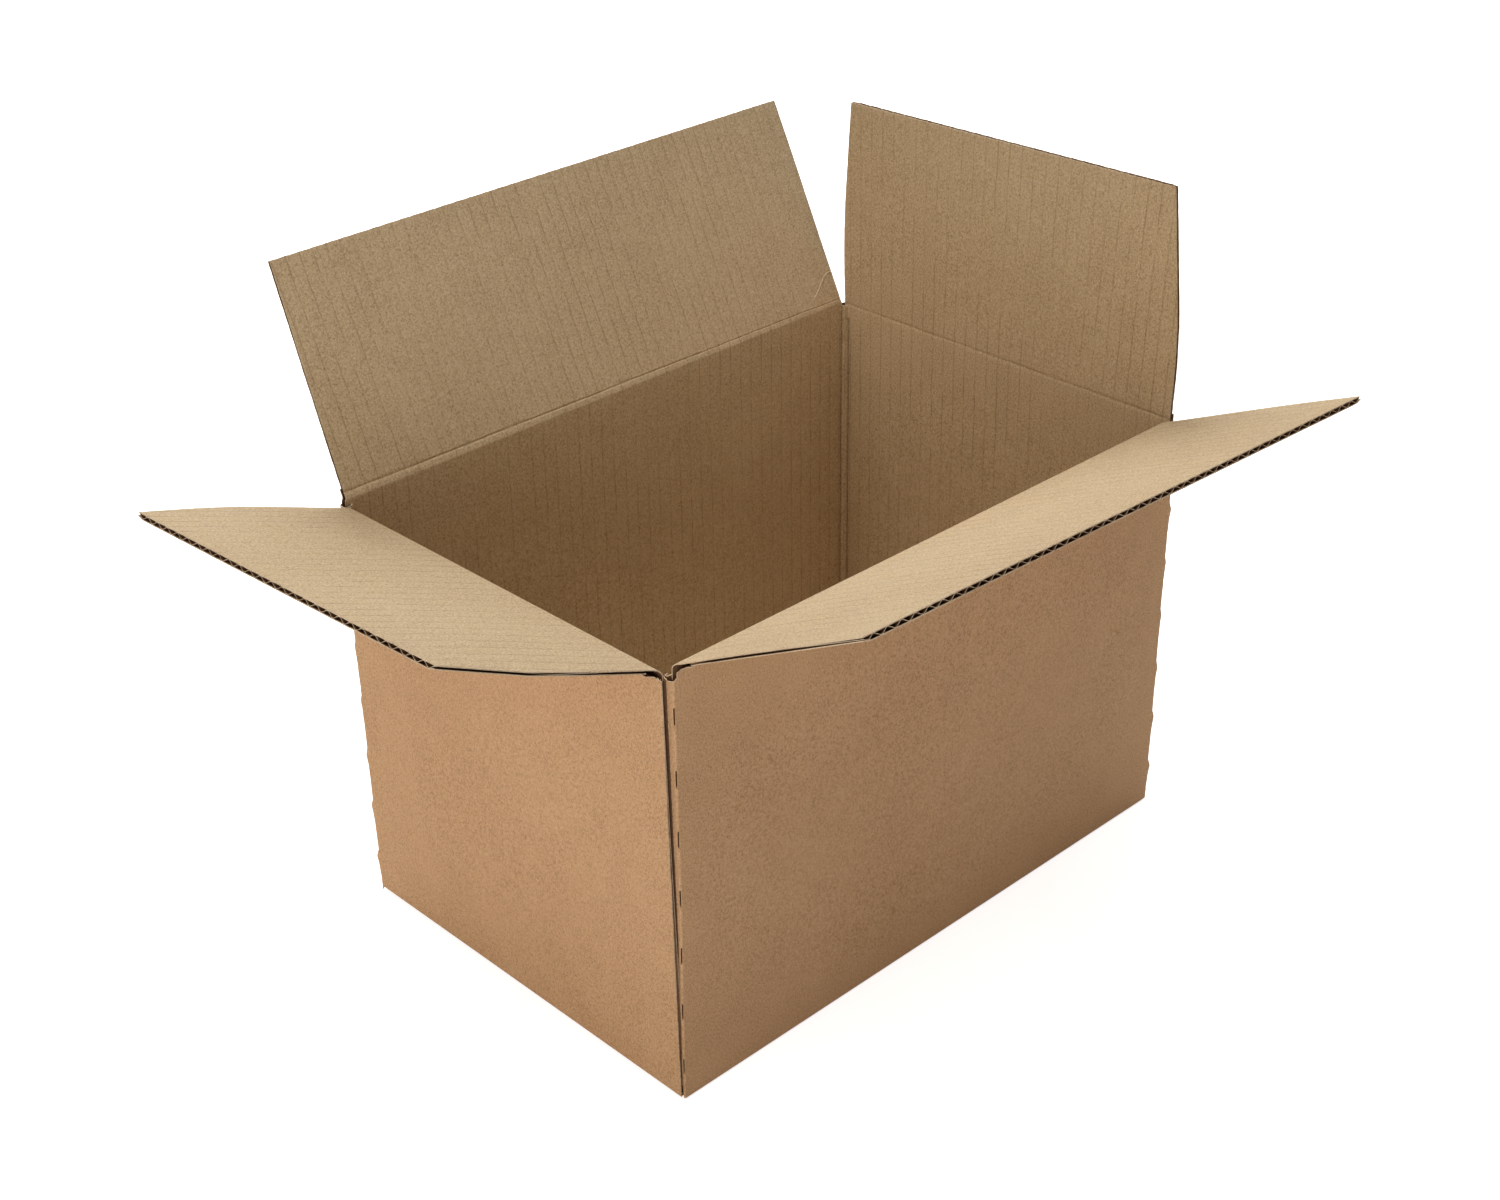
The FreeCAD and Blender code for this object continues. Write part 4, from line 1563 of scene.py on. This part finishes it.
SIDES = (LEFT, BACK, RIGHT, FRONT)
FLAPS = (
    TopFlap(
        LEFT,
        "left_flap",
        106.1,
        trail=((0, 7.4), (31, 5.8), (67, 3.4), (100, 6.6), (106, 7.2)),
        lead=((0, 6.8), (30, 6.6), (54, 7.0), (80, 10.2), (106, 14.0)),
        turn=0.1,
        twist=-2.03,
        bow=0.3,
        sag=1.0,
        seed=1.0,
    ),
    TopFlap(
        BACK,
        "back_flap",
        102.6,
        trail=((0, 2.6), (53, 4.2), (102, 6.1)),
        lead=((0, 5.6), (53, 6.0), (102, 6.2)),
        turn=0.0,
        twist=-0.79,
        bow=0.2,
        sag=0.0,
        seed=2.0,
        wrinkle=(
            (147.2, 15.2),
            (144.1, 15.3),
            (141.4, 14.0),
            (138.2, 11.3),
            (135.7, 9.0),
            (132.7, 6.8),
            (129.8, 5.0),
        ),
    ),
    TopFlap(
        RIGHT,
        "right_flap",
        106.1,
        trail=((0, 2.8), (25, 2.4), (41, 2.6), (56, 3.4), (106, 7.4)),
        lead=((0, 2.6), (27, 3.2), (46, 4.7), (59, 6.6), (106, 13.7)),
        turn=-0.4,
        twist=-2.55,
        bow=0.0,
        sag=0.0,
        seed=3.0,
    ),
    TopFlap(
        FRONT,
        "front_flap",
        102.6,
        trail=((0, 9.5), (8, 10.4), (54, 9.4), (102, 7.4)),
        lead=((0, 5.8), (54, 6.8), (102, 8.5)),
        turn=0.0,
        twist=1.99,
        bow=0.3,
        sag=0.0,
        seed=4.0,
        torn=((0, 3.4), (8, 2.8), (14, 1.2), (24, 0.0)),
    ),
)
CREASES = (
    CreaseStrip(FLAPS[0], crush=(0.1, 0.14)),
    CreaseStrip(FLAPS[1], crush=(0.5, 0.42), width=(0.9, 0.32), place=(2.7, 1.5)),
    CreaseStrip(FLAPS[2], crush=(0.3, 0.3), width=(0.6, 0.7)),
    CreaseStrip(FLAPS[3], crush=(0.1, 0.1)),
)


def main() -> None:
    """Builds the box piece by piece and sets the stage."""
    logging.basicConfig(level=logging.INFO)
    materials = make_finishes()
    for part in (BoxWalls(SIDES), BottomFlaps(SIDES), *FLAPS, *CREASES):
        made = part.build(materials)
        for piece in made if isinstance(made, list) else [made]:
            LOG.info("%s: %d faces", piece.name, len(piece.data.polygons))
    Stage().build()


if __name__ == "__main__":
    main()
